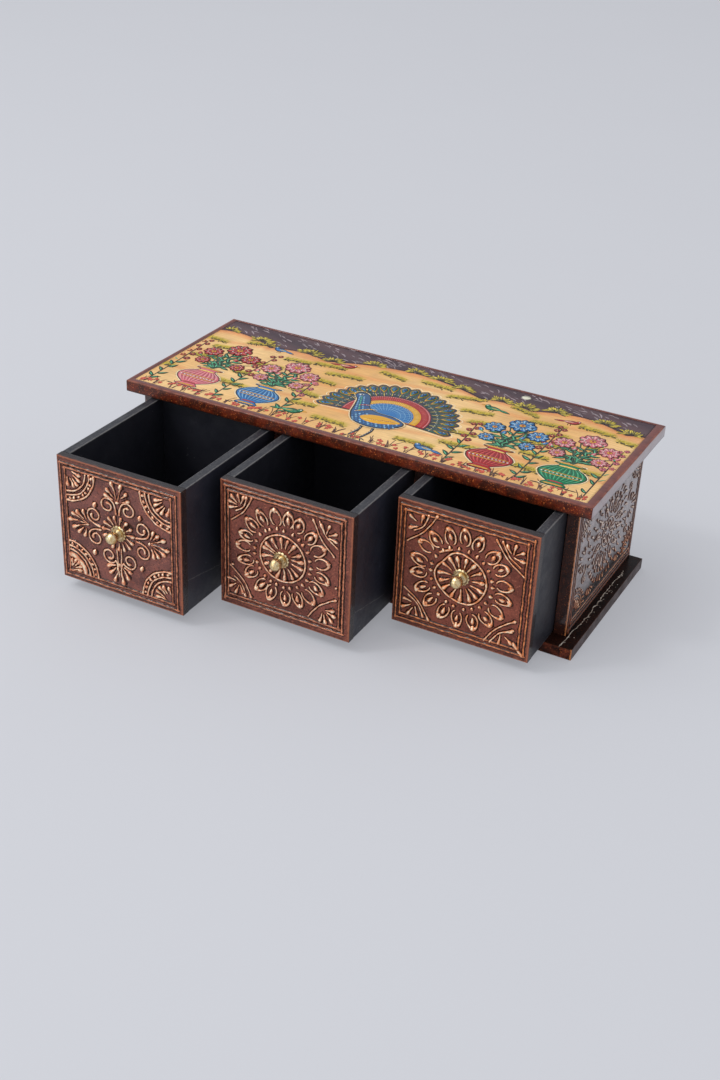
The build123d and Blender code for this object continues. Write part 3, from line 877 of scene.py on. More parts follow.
def panel_relief(side):
    """The same piped work on a side of the case, finer and spread evenly over a wider field."""
    low, high = corners("side_panel_" + side)
    middle_y, middle_z = (low[1] + high[1]) / 2, (low[2] + high[2]) / 2
    face, way, seed = (high[0], 1, 53) if side == "right" else (low[0], -1, 61)
    rng = random.Random(seed)
    pile = Pile(rng, lambda u, v, h: (face + way * h, middle_y + way * u, middle_z + v), skirt=0.16)
    half = ((high[1] - low[1]) / 2, (high[2] - low[2]) / 2)
    pile.frame_lines((-half[0], -half[1]), half, (2.6, 2.6, 2.6, 1.8), (5.2, 5.0, 5.2, 4.8))
    foot = [(-half[0] + 6 + 1.1 * k, 7.8 - half[1]) for k in range(88)]
    pile.pipe(foot, 1.1, 0.9, start=1.4, end=1.3)
    rise = 2.0
    centre = (0, rise)
    mandala(pile, centre, 9.2, 14, 17.0, drops=12, dots=17, petal_size=(7.0, 4.2), weight=0.72)
    for ring, count, lean in ((23.6, 28, 20), (29.6, 36, -20)):
        for turn in turns(count, at=0):
            turn += rng.uniform(-2, 2)
            pile.bead(centre, ring + rng.uniform(-0.6, 0.6), turn, 4.4, 1.8, lean)
    x, y = half[0] - 6.0, half[1] - 5.6
    for corner, start in (((-x, y), 270), ((x, y), 180), ((x, 4.2 - y), 90), ((-x, 4.2 - y), 0)):
        pile.pipe(arc(corner, 13.6, start + 2, start + 88), 0.9, start=1.3)
        pile.pipe(arc(corner, 11.4, start + 3, start + 87), 0.85, end=1.3)
        for k in range(5):
            pile.bead(corner, 8.8, start + 12 + 16.5 * k, 5.4, 1.9)
        for k in range(7):
            pile.bead(corner, 16.6, start + 7 + 12.6 * k, 3.4, 1.6)
    for end in (-1, 1):
        out = 0 if end > 0 else 180
        for k in range(7):
            turn = 74 - 148 * k / 6
            far = 6.6 + 2.4 * math.cos(math.radians(turn))
            pile.bead((end * 36.0, rise), far, out + turn, 5.0, 1.9)
        for up in (-1, 1):
            curl = spiral((end * 34.6, rise + up * 14.6), 3.2, 0.8, out - up * end * 60, up * end * 430, 0.8)
            stem = spline([(end * 33.0, rise + up * 6.0), (end * 33.6, rise + up * 10.0), curl[0]])
            pile.pipe(stem[:-1] + curl, 0.85, start=1.3, end=1.6)
            for k in range(5):
                pile.bead((end * 23.0, rise + up * 25.0), 4.8, 90 * up + 56 - 28 * k, 4.2, 1.7)
    return pile


# ---------------------------------------------------------------- painted top

TOP_LOW, TOP_HIGH = corners("top_board")
FIELD_GAPS = (3.0, 5.0, 4.3, 0.7)
FIELD_LEFT = TOP_LOW[0] + FIELD_GAPS[0]
FIELD_RIGHT = TOP_HIGH[0] - FIELD_GAPS[1]
FIELD_FRONT = TOP_LOW[1] + FIELD_GAPS[2]
FIELD_BACK = TOP_HIGH[1] - FIELD_GAPS[3]
FIELD_DEEP = 0.50
LEVEL = TOP_HIGH[2] - FIELD_DEEP
PAINT = 0.07
DAB_STEPS = 6
SKY_STREAKS = 150
VASE_SIZE = 1.18
PEACOCK_SIZE = 0.9
PEACOCK_BODY_SIZE = 1.2

BLACK = (0, 0, 0)
OCHRE = rgb(226, 175, 110)
OCHRE_PALE = rgb(238, 198, 138)
OCHRE_ORANGE = rgb(222, 134, 76)
YELLOW = rgb(214, 186, 44)
OLIVE = rgb(138, 130, 38)
ROOT = rgb(62, 42, 20)
NIGHT = rgb(92, 69, 74)
NIGHT_DEEP = rgb(70, 52, 60)
CHARCOAL = rgb(58, 60, 70)
CHARCOAL_PALE = rgb(96, 100, 114)
WHITE = rgb(238, 238, 230)
GOLD = rgb(222, 164, 48)
GOLD_PALE = rgb(244, 206, 110)
CRIMSON = rgb(170, 44, 48)
CRIMSON_PALE = rgb(214, 96, 92)
PINK = rgb(214, 112, 124)
PINK_PALE = rgb(240, 176, 176)
BLUE = rgb(52, 116, 178)
BLUE_PALE = rgb(130, 184, 222)
GREEN = rgb(22, 124, 84)
GREEN_PALE = rgb(84, 184, 136)
GREEN_DARK = rgb(22, 70, 46)
PALE_EDGE = rgb(250, 226, 182)
STEM_RED = rgb(84, 34, 26)

# middle, half width and top of each hill
MOUNDS = ((-137, 34, 42.5), (-84, 36, 37.0), (-8, 52, 47.5), (60, 36, 38.5), (106, 36, 44.5),
          (150, 26, 39.0))

# x, y, length and slope of each run of grass across the hills
GRASS = ((-141, 24, 16, -0.1), (-112, 33, 20, 0.25), (-60, 27, 22, 0.1), (-18, 36, 20, -0.2),
         (34, 30, 24, 0.3), (74, 33, 20, -0.3), (120, 30, 24, -0.1), (-134, -2, 22, 0.2),
         (-92, 6, 22, 0.1), (-52, -16, 22, -0.15), (58, 4, 20, 0.2), (98, -2, 30, 0.15),
         (132, 8, 22, 0.1), (-146, -27, 12, 0.1), (-98, -30, 26, -0.1), (58, -31, 24, 0.1),
         (100, -36, 26, -0.05), (134, -24, 20, 0.1), (12, 38, 22, -0.05), (-42, 18, 24, 0.15),
         (50, 16, 20, 0.15), (-52, 3, 16, -0.1), (54, -15, 20, 0.1), (-46, -31, 18, 0.1),
         (34, -41, 24, 0.05), (-22, -44, 24, -0.05), (90, 24, 22, 0.1), (-80, 22, 18, 0.15),
         (143, 24, 14, -0.1), (-130, 16, 18, 0.2), (102, 12, 14, 0.1), (-98, -12, 18, 0.1),
         (100, -20, 18, -0.1))


def ridge(x):
    """Height on the board, in y, of the line of hills at x."""
    return max(top - 11.5 * ((x - middle) / half) ** 2 - 1.5 * abs((x - middle) / half)
               for middle, half, top in MOUNDS)


def in_field(x, y):
    return FIELD_LEFT + 0.9 < x < FIELD_RIGHT - 0.9 and FIELD_FRONT + 0.5 < y < FIELD_BACK - 1.3


class Paint(Pile):
    """A pile made with brushes. A lift is counted from its level, which is set as the work goes on."""

    def __init__(self, rng, lift):
        super().__init__(rng)
        self.level = LEVEL + lift

    def varied(self, colour, amount=0.12):
        f = 1 + self.rng.uniform(-amount, amount)
        return tuple(clamp(c * f) for c in colour)

    def brush(self, path, widths, colour, lift, thick):
        """One touch of a loaded brush: a low closed ridge of paint. None crosses the field's edge."""
        if not all(in_field(x, y) for x, y in path):
            return
        level = self.level + lift
        # painted shade and highlight: each stroke is darker along its edges and lighter along its ridge
        dark, light = mixed(colour, BLACK, 0.16), mixed(colour, (1, 1, 1), 0.05)
        rows = []
        for i, (x, y) in enumerate(path):
            sx, sy = sideways(path, i)
            w = widths[i] / 2
            if i in (0, len(path) - 1):
                rows.append((self.add(x, y, level, paint=dark),))
            else:
                rows.append((self.add(x + sx * w, y + sy * w, level, paint=dark),
                             self.add(x, y, level + thick, paint=light),
                             self.add(x - sx * w, y - sy * w, level, paint=dark)))
        for one, two in zip(rows, rows[1:]):
            for k, m in ((0, 1), (1, 2), (2, 0)):
                if len(one) == 1:
                    self.faces.append((one[0], two[k], two[m]))
                elif len(two) == 1:
                    self.faces.append((one[m], one[k], two[0]))
                else:
                    self.faces.append((one[k], two[k], two[m], one[m]))

    def dab(self, x, y, degrees, length, width, colour, lift=0.0, thick=PAINT, full=0.5, bow=0.0):
        """A leaf-shaped touch that starts at (x, y); full is where along it it is widest."""
        a = math.radians(degrees)
        path, widths = [], []
        power = math.log(0.5) / math.log(full)
        for k in range(DAB_STEPS + 1):
            s = k / DAB_STEPS
            path.append(turned((x, y), a, s * length, bow * length * math.sin(math.pi * s)))
            widths.append(width * math.sin(math.pi * s ** power) ** 0.75 if 0 < k < DAB_STEPS else 0.0)
        self.brush(path, widths, colour, lift, thick)

    def ray(self, centre, radius, turn, length, width, colour, lift, thick=PAINT, full=0.5, lean=0):
        """A dab that starts on a circle and points out of it, turned by lean."""
        self.dab(*polar(centre, radius, turn), turn + lean, length, width, colour, lift, thick, full)

    def stroke(self, path, width, colour, lift=0.0, thick=PAINT, taper=0.25):
        """A painted line of even width whose ends thin away."""
        n = len(path)
        widths = [width * min(1.0, taper + (1 - taper) * min(k, n - 1 - k) / max(1.0, n * 0.22))
                  for k in range(n)]
        self.brush(path, widths, colour, lift, thick)

    def spot(self, x, y, size, colour, lift, thick=PAINT):
        self.dab(x - size / 2, y, 0, size, size, colour, lift, thick)

    def contour(self, outline, width, colour, lift, thick=0.05):
        """A thin line drawn round a painted shape."""
        path = outline + outline[:2]
        self.brush(path, [width] * len(path), colour, lift, thick)

    def patch(self, outline, colour, lift, thick, inset=0.10, edge=None):
        """A flat area of paint with a slightly raised, closed outline."""
        if sum(a[0] * b[1] - b[0] * a[1] for a, b in zip(outline, outline[1:] + outline[:1])) < 0:
            outline = outline[::-1]
        level = self.level + lift
        foot, top = [], []
        for i, (x, y) in enumerate(outline):
            nx, ny = sideways(outline, i, True)
            foot.append(self.add(x, y, level - 0.02, paint=edge or mixed(colour, BLACK, 0.2)))
            top.append(self.add(x + nx * inset, y + ny * inset, level + thick, paint=colour))
        self.join(foot, top)
        self.faces += [tuple(top), tuple(reversed(foot))]

    def enlarge(self, start, x, y, factor):
        """Enlarges everything painted since start about (x, y), level by level."""
        for i in range(start, len(self.points)):
            at = self.points[i]
            self.points[i] = (*grown([at[:2]], x, y, factor)[0], at[2])

    def sheet(self, columns, rows, low_line, high_line, colour_at, thick):
        """A closed sheet between two lines y(x), coloured point by point."""
        grid = []
        for height in (thick, -0.02):
            layer = []
            for i in range(columns + 1):
                x = FIELD_LEFT + 0.3 + (FIELD_RIGHT - FIELD_LEFT - 0.6) * i / columns
                y0, y1 = low_line(x), high_line(x)
                ys = [y0 + (y1 - y0) * j / rows for j in range(rows + 1)]
                layer.append([self.add(x, y, self.level + height, paint=colour_at(x, y)) for y in ys])
            grid.append(layer)
        top, foot = grid
        for i in range(columns):
            for j in range(rows):
                self.faces += [(top[i][j], top[i + 1][j], top[i + 1][j + 1], top[i][j + 1]),
                               (foot[i][j], foot[i][j + 1], foot[i + 1][j + 1], foot[i + 1][j])]
            self.faces += [(foot[i][0], foot[i + 1][0], top[i + 1][0], top[i][0]),
                           (top[i][rows], top[i + 1][rows], foot[i + 1][rows], foot[i][rows])]
        end = columns
        for j in range(rows):
            self.faces += [(foot[0][j], top[0][j], top[0][j + 1], foot[0][j + 1]),
                           (top[end][j], foot[end][j], foot[end][j + 1], top[end][j + 1])]

    def finish(self, name, material, streaks, grain=0.03):
        self.make(name, "case", "painted_top", paint_material(material, streaks, grain))


def painted_board():
    """The top board with a worn arris and a shallow field for the picture."""
    rng = random.Random(71)
    pile = Pile(rng)
    waves = hand(rng, 60, 0.08)
    low, high = TOP_LOW, TOP_HIGH

    def outline(inset, left=0.0, right=0.0, front=0.0, back=0.0, corner=0.45):
        x0, x1 = low[0] + inset + left + corner, high[0] - inset - right - corner
        y0, y1 = low[1] + inset + front + corner, high[1] - inset - back - corner
        arcs = [[polar(middle, corner, start + 22.5 * k) for k in range(5)]
                for middle, start in (((x1, y0), -90), ((x1, y1), 0), ((x0, y1), 90), ((x0, y0), 180))]
        full = []
        for here, there, count in zip(arcs, arcs[1:] + arcs[:1], (24, 60, 24, 60)):
            full += here + [mixed(here[-1], there[0], k / count) for k in range(1, count)]
        return full

    rings = []
    for z, inset, wear in ((low[2], 0.55, 0.4), (low[2] + 0.16, 0.16, 0.8), (low[2] + 0.6, 0.0, 0.1),
                           (high[2] - 0.75, 0.0, 0.15), (high[2] - 0.36, 0.12, 0.8),
                           (high[2] - 0.12, 0.34, 1.0), (high[2], 0.78, 0.7), (high[2], 1.6, 0.1)):
        ring = []
        for i, (x, y) in enumerate(outline(inset)):
            nick = max(0.0, waves(i * 3.1 + z)) if inset < 0.8 else 0.0
            pull = 1 - nick / 70
            ring.append(pile.add(x * pull, y * pull, z, crest=wear))
        rings.append(ring)
    left, right, front, back = FIELD_GAPS
    for z, inset, wear in ((high[2], 0.0, 0.1), (high[2] - 0.1, 0.16, 0.3), (LEVEL, 0.3, 0.0)):
        rings.append([pile.add(x, y, z, crest=wear)
                      for x, y in outline(inset, left, right, front, back + 0.95, 0.5)])
    for one, two in zip(rings, rings[1:]):
        pile.join(one, two)
    pile.faces += [tuple(reversed(rings[0])), tuple(rings[-1])]
    return pile


def tuft(p, x, y, size):
    """A small bush: a dark base under a fan of olive and yellow leaves."""
    rng = p.rng
    layers = ((14, 0.00, 0.14, (0.30, 0.42), (1.2, 1.8), rgb(50, 44, 24)),
              (18, 0.05, 0.26, (0.22, 0.32), (1.0, 1.4), mixed(ROOT, OLIVE, 0.6)),
              (18, 0.12, 0.34, (0.16, 0.26), (0.9, 1.3), mixed(OLIVE, YELLOW, 0.5)),
              (16, 0.16, 0.38, (0.16, 0.26), (0.7, 1.1), rgb(224, 200, 70)))
    for layer, (count, near, far, long, wide, colour) in enumerate(layers):
        for k in range(count):
            turn = -12 + 204 * (k + rng.uniform(0.1, 0.9)) / count
            across, up = polar((0, 0), rng.uniform(near, far) * size, turn)
            p.dab(x + across * 1.15, y + up * 0.8, turn + rng.uniform(-22, 22), size * rng.uniform(*long),
                  rng.uniform(*wide), p.varied(colour, 0.15), 0.02 * layer, 0.06)


def grass(p, x, y, length, slope):
    """A run of short dark roots with yellow blades above them."""
    rng = p.rng
    count = round(length)
    for k in range(count):
        bx = clamp(x - length / 2 + length * k / count + rng.uniform(-0.5, 0.5), FIELD_LEFT + 2.5,
                   FIELD_RIGHT - 4)
        by = y + slope * (bx - x) + rng.uniform(-0.8, 0.8)
        p.dab(bx, by + 0.5, rng.gauss(58, 22), rng.uniform(2.4, 4.4), rng.uniform(0.65, 1.0),
              p.varied(rgb(200, 178, 50), 0.18), 0.02)
        if k % 2:
            p.dab(bx, by, rng.gauss(40, 26), rng.uniform(1.6, 3.0), 0.85, p.varied(OLIVE, 0.25), 0.03)
        for _ in range(rng.choice((1, 1, 2))):
            p.dab(bx + rng.uniform(-0.5, 0.5), by - 0.9, rng.gauss(10, 30), rng.uniform(1.4, 2.8),
                  rng.uniform(0.7, 1.1), p.varied(mixed(ROOT, OLIVE, 0.12), 0.3), 0.05)


def bloom(p, x, y, size, colour, pale, lift, petals=9):
    """A round flower: a dark rim, two rings of petals, a gold eye and pale dots."""
    at = (x, y)
    start = p.rng.uniform(0, 60)
    for turn in turns(petals, start, at=0):
        p.dab(x, y, turn, size * 0.60, size * 0.37, mixed(colour, BLACK, 0.72), lift - 0.03, 0.05, 0.68)
        p.dab(x, y, turn, size * 0.56, size * 0.30, p.varied(colour), lift + 0.02, 0.06, 0.68)
    for turn in turns(petals, start, at=0.06):
        p.ray(at, size * 0.20, turn, size * 0.30, size * 0.12, p.varied(pale), lift + 0.08, 0.04, 0.62)
    for turn in turns(petals, start):
        p.spot(*polar(at, size * 0.33, turn), size * 0.08, WHITE, lift + 0.09, 0.04)
    p.spot(x, y, size * 0.30, GOLD, lift + 0.10, 0.05)
    p.spot(x, y, size * 0.14, CRIMSON, lift + 0.13, 0.04)


def leaf(p, x, y, degrees, length, lift):
    bow = p.rng.uniform(-0.10, 0.10)
    p.dab(x, y, degrees, length, length * 0.36, p.varied(GREEN_DARK), lift, full=0.42, bow=bow)
    p.dab(*polar((x, y), length * 0.14, degrees), degrees + 3, length * 0.62, length * 0.12,
          p.varied(GREEN_PALE), lift + 0.05, full=0.42, bow=bow)


def vase_plant(p, x, y, colour, pale, flower, flower_pale):
    """A striped vase with a flowering plant, after common block-print borders."""
    rng, begin = p.rng, len(p.points)
    ink = mixed(colour, BLACK, 0.82)
    for k in range(9):
        p.dab(x - 11 + 2.4 * k, y - 0.7 + rng.uniform(-0.4, 0.4), rng.uniform(-12, 12), 4.6, 1.0,
              p.varied(ROOT, 0.3))
    profile = ((0, 5.2), (1.6, 6.0), (3.4, 4.2), (5.2, 6.4), (9.0, 10.4), (13.5, 12.0), (17.6, 9.6),
               (20.6, 5.4), (22.6, 4.9), (24.4, 7.6))
    outline = spline([(x + w, y + h) for h, w in profile] + [(x - w, y + h) for h, w in reversed(profile)],
                     1.2, closed=True)
    p.contour(grown(outline, x, y + 12.5, 1.06), 1.0, PALE_EDGE, 0.0, 0.06)
    p.patch(outline, p.varied(colour, 0.05), 0.04, 0.06, edge=ink)
    for k in range(-4, 5):
        for at, width, tone in ((k, 0.62, pale), (k + 0.5, 0.5, mixed(colour, BLACK, 0.5))):
            if at <= 4:
                path = spline([(x + at / 4.7 * w, y + h) for h, w in profile[3:8]], 1.5)
                p.stroke(path, width, p.varied(tone), 0.11, 0.05)

    def band(h, w, bow):
        return [(x - w + 2 * w * k / 8, y + h + bow * math.sin(math.pi * k / 8)) for k in range(9)]

    for h, w, tone in ((24.2, 7.2, GOLD), (20.9, 5.2, GOLD_PALE), (1.0, 5.4, GOLD), (3.8, 4.3, CRIMSON)):
        p.stroke(band(h, w, 0.35), 1.5, tone, 0.15, 0.06, 0.7)
    for h, w in ((13.4, 11.4), (10.6, 10.6)):
        p.stroke(band(h, w, 0), 0.7, GOLD, 0.15, 0.05, 0.8)
    for k in range(-5, 6):
        p.spot(x + k * 2.0, y + 12.0, 1.1, WHITE, 0.17, 0.06)
    p.contour(outline, 0.5, ink, 0.14)
    mx, my = x, y + 25.0
    heads = ((0, 29, 12.6), (-11.5, 20.5, 10.0), (11.5, 21.5, 10.0), (-10.6, 8.0, 7.6), (10.8, 8.6, 7.6))
    for dx, dy, size in heads:
        path = spline([(mx, my), (mx + dx * 0.35, my + dy * 0.62), (mx + dx, my + dy)], 1.2)
        p.stroke(path, 1.15, p.varied(GREEN_DARK), 0.02, 0.06, 0.8)
        for k in range(2, len(path) - 3, 2):
            way = 1 if (k // 2) % 2 else -1
            turn = heading(path[k], path[k + 1]) + way * rng.uniform(38, 66)
            leaf(p, *path[k], turn, rng.uniform(5.4, 7.4), 0.05)
    for dx, dy in ((-5.6, 28), (6.0, 26.5), (-15.5, 13), (16.0, 15.0), (-4.6, 15), (5.0, 14)):
        tx, ty = mx + dx, my + dy
        p.stroke(spline([(mx + dx * 0.3, my + dy * 0.55), (tx, ty)], 1.2), 0.7, GREEN_DARK, 0.04, 0.05)
        p.dab(tx, ty, 90 - dx * 2, 4.4, 2.8, p.varied(flower), 0.10, full=0.4)
        p.dab(tx, ty + 0.6, 90 - dx * 2, 2.6, 0.9, p.varied(flower_pale), 0.13, full=0.4)
        p.spot(tx, ty + 0.4, 1.5, GREEN_PALE, 0.15)
    for dx, dy, size in heads:
        bloom(p, mx + dx, my + dy, size, flower, flower_pale, 0.16)
    p.enlarge(begin, x, y, VASE_SIZE)


def flower_stalk(p, x, y, tall, flower, pale):
    """A tall stalk with leaves below and small flowers above, alternating from side to side."""
    uniform = p.rng.uniform
    lean = uniform(-3.0, 3.0)
    path = moved(x, y, (0, 0), (lean * 0.1, tall * 0.4), (lean * 0.5, tall * 0.75), (lean, tall))
    path = spline(path, 2.0)
    p.stroke(path, 0.9, rgb(58, 40, 26), 0.0, 0.06, 0.8)
    steps = round(tall / 4.3)
    for k in range(1, steps + 1):
        at = path[min(len(path) - 1, round(k / steps * (len(path) - 1)))]
        way = 1 if k % 2 else -1
        if k < steps * 0.52:
            leaf(p, *at, 90 - way * uniform(34, 58), uniform(6.4, 8.6), 0.03)
            continue
        out = (at[0] + way * uniform(2.0, 3.2) * (1.25 - 0.6 * k / steps), at[1] + uniform(0.4, 1.6))
        bend = ((at[0] + out[0]) / 2, (at[1] + out[1]) / 2 - 0.3)
        p.stroke([at, bend, out], 0.5, GREEN_DARK, 0.03, 0.04)
        size = 4.6 - 2.0 * (k / steps - 0.5)
        p.spot(*out, size * 1.1, mixed(flower, BLACK, 0.7), 0.05)
        for turn in turns(5, 90, at=0):
            p.ray(out, size * 0.05, turn, size * 0.46, size * 0.34, p.varied(flower), 0.09, 0.05, 0.65)
        p.spot(*out, size * 0.26, pale, 0.15, 0.04)


def peacock_train(p, hub):
    """The spread train, in rings round its hub: feather eyes outside, then crimson, gold and blue."""
    rng = p.rng

    def fan(radius, start=-8, end=188, steps=60):
        return [polar(hub, radius, start + (end - start) * k / steps) for k in range(steps + 1)]

    def scalloped(radius, start, end, bumps=21, depth=3.2):
        return [polar(hub, radius + depth * abs(math.sin(math.pi * k / 6)),
                      start + (end - start) * k / 6 / bumps) for k in range(bumps * 6 + 1)]

    edge = scalloped(48.4, -10.5, 190.5) + moved(*hub, (-4, -4.2), (4, -4.2))
    p.contour(edge, 1.1, PALE_EDGE, -0.02, 0.06)
    p.patch(scalloped(47, -9, 189) + moved(*hub, (-4, -3), (4, -3)), CHARCOAL, 0.0, 0.06)
    for k, turn in enumerate(turns(126, -8, 196)):
        p.ray(hub, 30 + rng.uniform(-1, 2), turn, rng.uniform(14, 18.5), 0.75,
              p.varied(CHARCOAL_PALE if k % 3 else GREEN, 0.25), 0.08, 0.04, 0.6)
    for turn in turns(21, -9, 198):
        eye = polar(hub, 43.2, turn)
        for radius, long, wide, tone, lift in ((36.6, 12.0, 5.8, GOLD, 0.12), (38.4, 9.4, 4.5, GREEN, 0.17),
                                               (40.0, 6.6, 3.4, BLUE, 0.22)):
            p.ray(hub, radius, turn, long, wide, p.varied(tone), lift, 0.06, 0.62)
        p.spot(*polar(eye, 0.6, turn), 1.9, rgb(34, 34, 60), 0.27, 0.05)
        p.spot(*polar(eye, 1.4, turn + 60), 0.7, WHITE, 0.31, 0.03)
        p.stroke([polar(hub, 31 + 1.1 * j, turn) for j in range(6)], 0.6, GOLD_PALE, 0.13, 0.04)
        for way in (-1, 1):
            p.spot(*polar(hub, 34.8, turn + way * 2.6), 0.85, WHITE, 0.14, 0.05)
    foot = moved(*hub, (0, -3))
    p.patch(fan(30.5) + foot, CRIMSON, 0.09, 0.06)
    for turn in turns(66, -6, 192):
        p.spot(*polar(hub, 29.6, turn), 1.05, PINK_PALE, 0.16, 0.05)
        p.ray(hub, 24.4, turn, 4.2, 0.62, p.varied(CRIMSON_PALE, 0.2), 0.16, 0.03)
    p.patch(fan(24) + foot, GOLD, 0.16, 0.04)
    for turn in turns(56, -6, 192):
        p.ray(hub, 19.6, turn, 3.8, 0.6, p.varied(GOLD_PALE, 0.15), 0.21, 0.03, lean=12)
    p.patch(fan(19) + foot, BLUE, 0.21, 0.03)
    for k in range(19):
        turn = -4 + 188 * k / 18
        p.stroke([polar(hub, 7 + 1.3 * j, turn) for j in range(10)], 0.42, BLUE_PALE, 0.25, 0.03)
    for radius in (10.5, 13.5, 16.5):
        p.stroke(fan(radius, -4, 184, 40), 0.42, BLUE_PALE, 0.25, 0.03)
    for at in fan(18.0, -4, 184, 29):
        p.spot(*at, 0.8, WHITE, 0.27, 0.03)


def peacock(p, x, y):
    """A peacock with its train spread, in flat folk-painting shapes."""
    whole = len(p.points)
    peacock_train(p, (x + 3, y + 4))
    begin = len(p.points)
    body = moved(x, y, (17, -3), (12, -11), (2, -14.5), (-9, -12), (-15, -4), (-17.5, 5), (-20, 13),
                 (-24, 18.6), (-21.5, 22.5), (-16.6, 21.4), (-12.6, 15), (-9, 7), (-2, 3.4), (9, 2.4))
    body = spline(body, 1.2, closed=True)
    p.patch(body, mixed(CHARCOAL, BLUE, 0.45), 0.28, 0.03, 0.14, rgb(24, 30, 48))
    for row in range(6):
        for k in range(11):
            dx = 13.5 - k * 2.5 - (row % 2) * 1.2
            dy = -0.4 - row * 2.1 + 0.03 * dx ** 2 * 0.18
            if (dx / 15.5) ** 2 + ((dy + 5.4) / 8.0) ** 2 < 1:
                tone = p.varied(BLUE if (row + k) % 2 else BLUE_PALE)
                p.dab(x + dx, y + dy, -70, 2.2, 1.5, tone, 0.31, 0.03, 0.45)
    for row in range(8):
        t = row / 7
        cx, cy = x - 12.5 - 6.5 * t, y + 2.5 + 15.5 * t
        for k in range(-1, 2):
            p.dab(cx + k * (2.2 - 0.9 * t) - 0.5, cy + abs(k) * 0.5, -80, 2.0, 1.1,
                  p.varied(BLUE_PALE if k else GREEN_PALE), 0.31, 0.03, 0.45)
    for offsets, tone in ((((-14, -1), (-8, 4.6), (-4, 6.0)), GOLD),
                          (((-15.5, 7), (-12, 9.2), (-9.6, 9.4)), CRIMSON)):
        points = moved(x, y, *offsets)
        p.stroke(spline(points, 1.0), 1.3, tone, 0.33, 0.03)
        for at in spline(points, 2.0):
            p.spot(*at, 0.75, WHITE, 0.35, 0.03)
    beak = spline(moved(x, y, (-23.6, 19.4), (-26.6, 18.4), (-28.6, 16.4)), 0.8)
    p.stroke(beak, 1.5, GOLD, 0.31, 0.04, 0.1)
    p.dab(x - 22.8, y + 19.6, 15, 3.6, 1.9, WHITE, 0.31, 0.03)
    p.spot(x - 20.8, y + 20.1, 1.25, rgb(20, 20, 26), 0.34, 0.03)
    for k, turn in enumerate((72, 88, 104, 120)):
        foot = (x - 19.2 - k * 0.5, y + 22.2)
        plume = [polar(foot, far, turn) for far in (0, 2.8, 5.6)]
        p.stroke(plume, 0.45, rgb(34, 40, 60), 0.31, 0.04, 0.9)
        p.spot(*plume[-1], 1.5, BLUE_PALE if k % 2 else GOLD_PALE, 0.33, 0.05)
    wing = moved(x, y, (15, -2.6), (5, 0.6), (-4, -0.8), (-8.5, -5.4), (-3, -9.4), (6, -8.4))
    p.patch(spline(wing, 1.1, closed=True), GOLD, 0.315, 0.025, 0.12, CRIMSON)
    for k in range(9):
        tone = p.varied(CRIMSON if k % 2 else GOLD_PALE, 0.1)
        p.dab(x - 6 + k * 1.7, y - 7.6 + 0.5 * k, 14, 7.5, 1.0, tone, 0.345, 0.025)
    for dx in (-2.5, 4.5):
        leg = moved(x + dx, y, (0, -13.5), (1.2, -20), (-0.6, -29))
        p.stroke(spline(leg, 1.5), 1.7, CHARCOAL, 0.10, 0.06, 0.8)
        toe = leg[-1]
        for turn in (200, 235, -20, -55):
            p.stroke([toe, polar(toe, 2.4, turn), polar(toe, 4.6, turn - 6)], 0.9, CHARCOAL, 0.10, 0.06)
        for k in range(5):
            p.spot(x + dx + 0.9 - 0.25 * k, y - 17.5 - 2.0 * k, 0.7, WHITE, 0.18, 0.04)
    p.contour(body, 0.55, rgb(16, 20, 34), 0.315, 0.03)
    p.contour(grown(body, x - 3, y, 1.06), 0.7, PALE_EDGE, 0.27, 0.03)
    p.enlarge(begin, x + 2, y - 4, PEACOCK_BODY_SIZE)
    p.enlarge(whole, x, y - 20, PEACOCK_SIZE)


def small_bird(p, x, y, size, way, colour, pale):
    """A plump bird in a few touches."""
    s = size * way
    ahead = 0 if way > 0 else 180
    for grow, tone, lift in ((1.16, mixed(colour, BLACK, 0.75), 0.0), (1.0, colour, 0.05)):
        big = size * grow
        p.dab(x - 0.9 * s * grow, y + 0.10 * size, ahead, 1.95 * big, 0.95 * big, tone, lift, 0.05, 0.6)
        p.dab(x - 0.6 * s, y + 0.1 * size, ahead + 194 * way, 1.3 * big, 0.42 * big, tone, lift, 0.05, 0.4)
        p.spot(x + 0.95 * s, y + 0.50 * size, 0.68 * big, tone, lift + 0.02)
    p.dab(x + 0.5 * s, y + 0.2 * size, ahead + 188 * way, 1.35 * size, 0.46 * size, pale, 0.11, 0.05)
    p.dab(x + 0.4 * s, y + 0.16 * size, ahead + 190 * way, 0.9 * size, 0.16 * size, GOLD, 0.15, 0.04)
    p.dab(x + 1.2 * s, y + 0.5 * size, ahead, 0.55 * size, 0.26 * size, GOLD, 0.11, full=0.3)
    p.spot(x + 1.02 * s, y + 0.58 * size, 0.22 * size, WHITE, 0.14)
    for dx in (-0.1, 0.25):
        leg = moved(x + dx * s, y, (0, -0.3 * size), (0, -0.6 * size), (0.1 * s, -0.95 * size))
        p.stroke(leg, 0.15 * size, ROOT, taper=0.8)


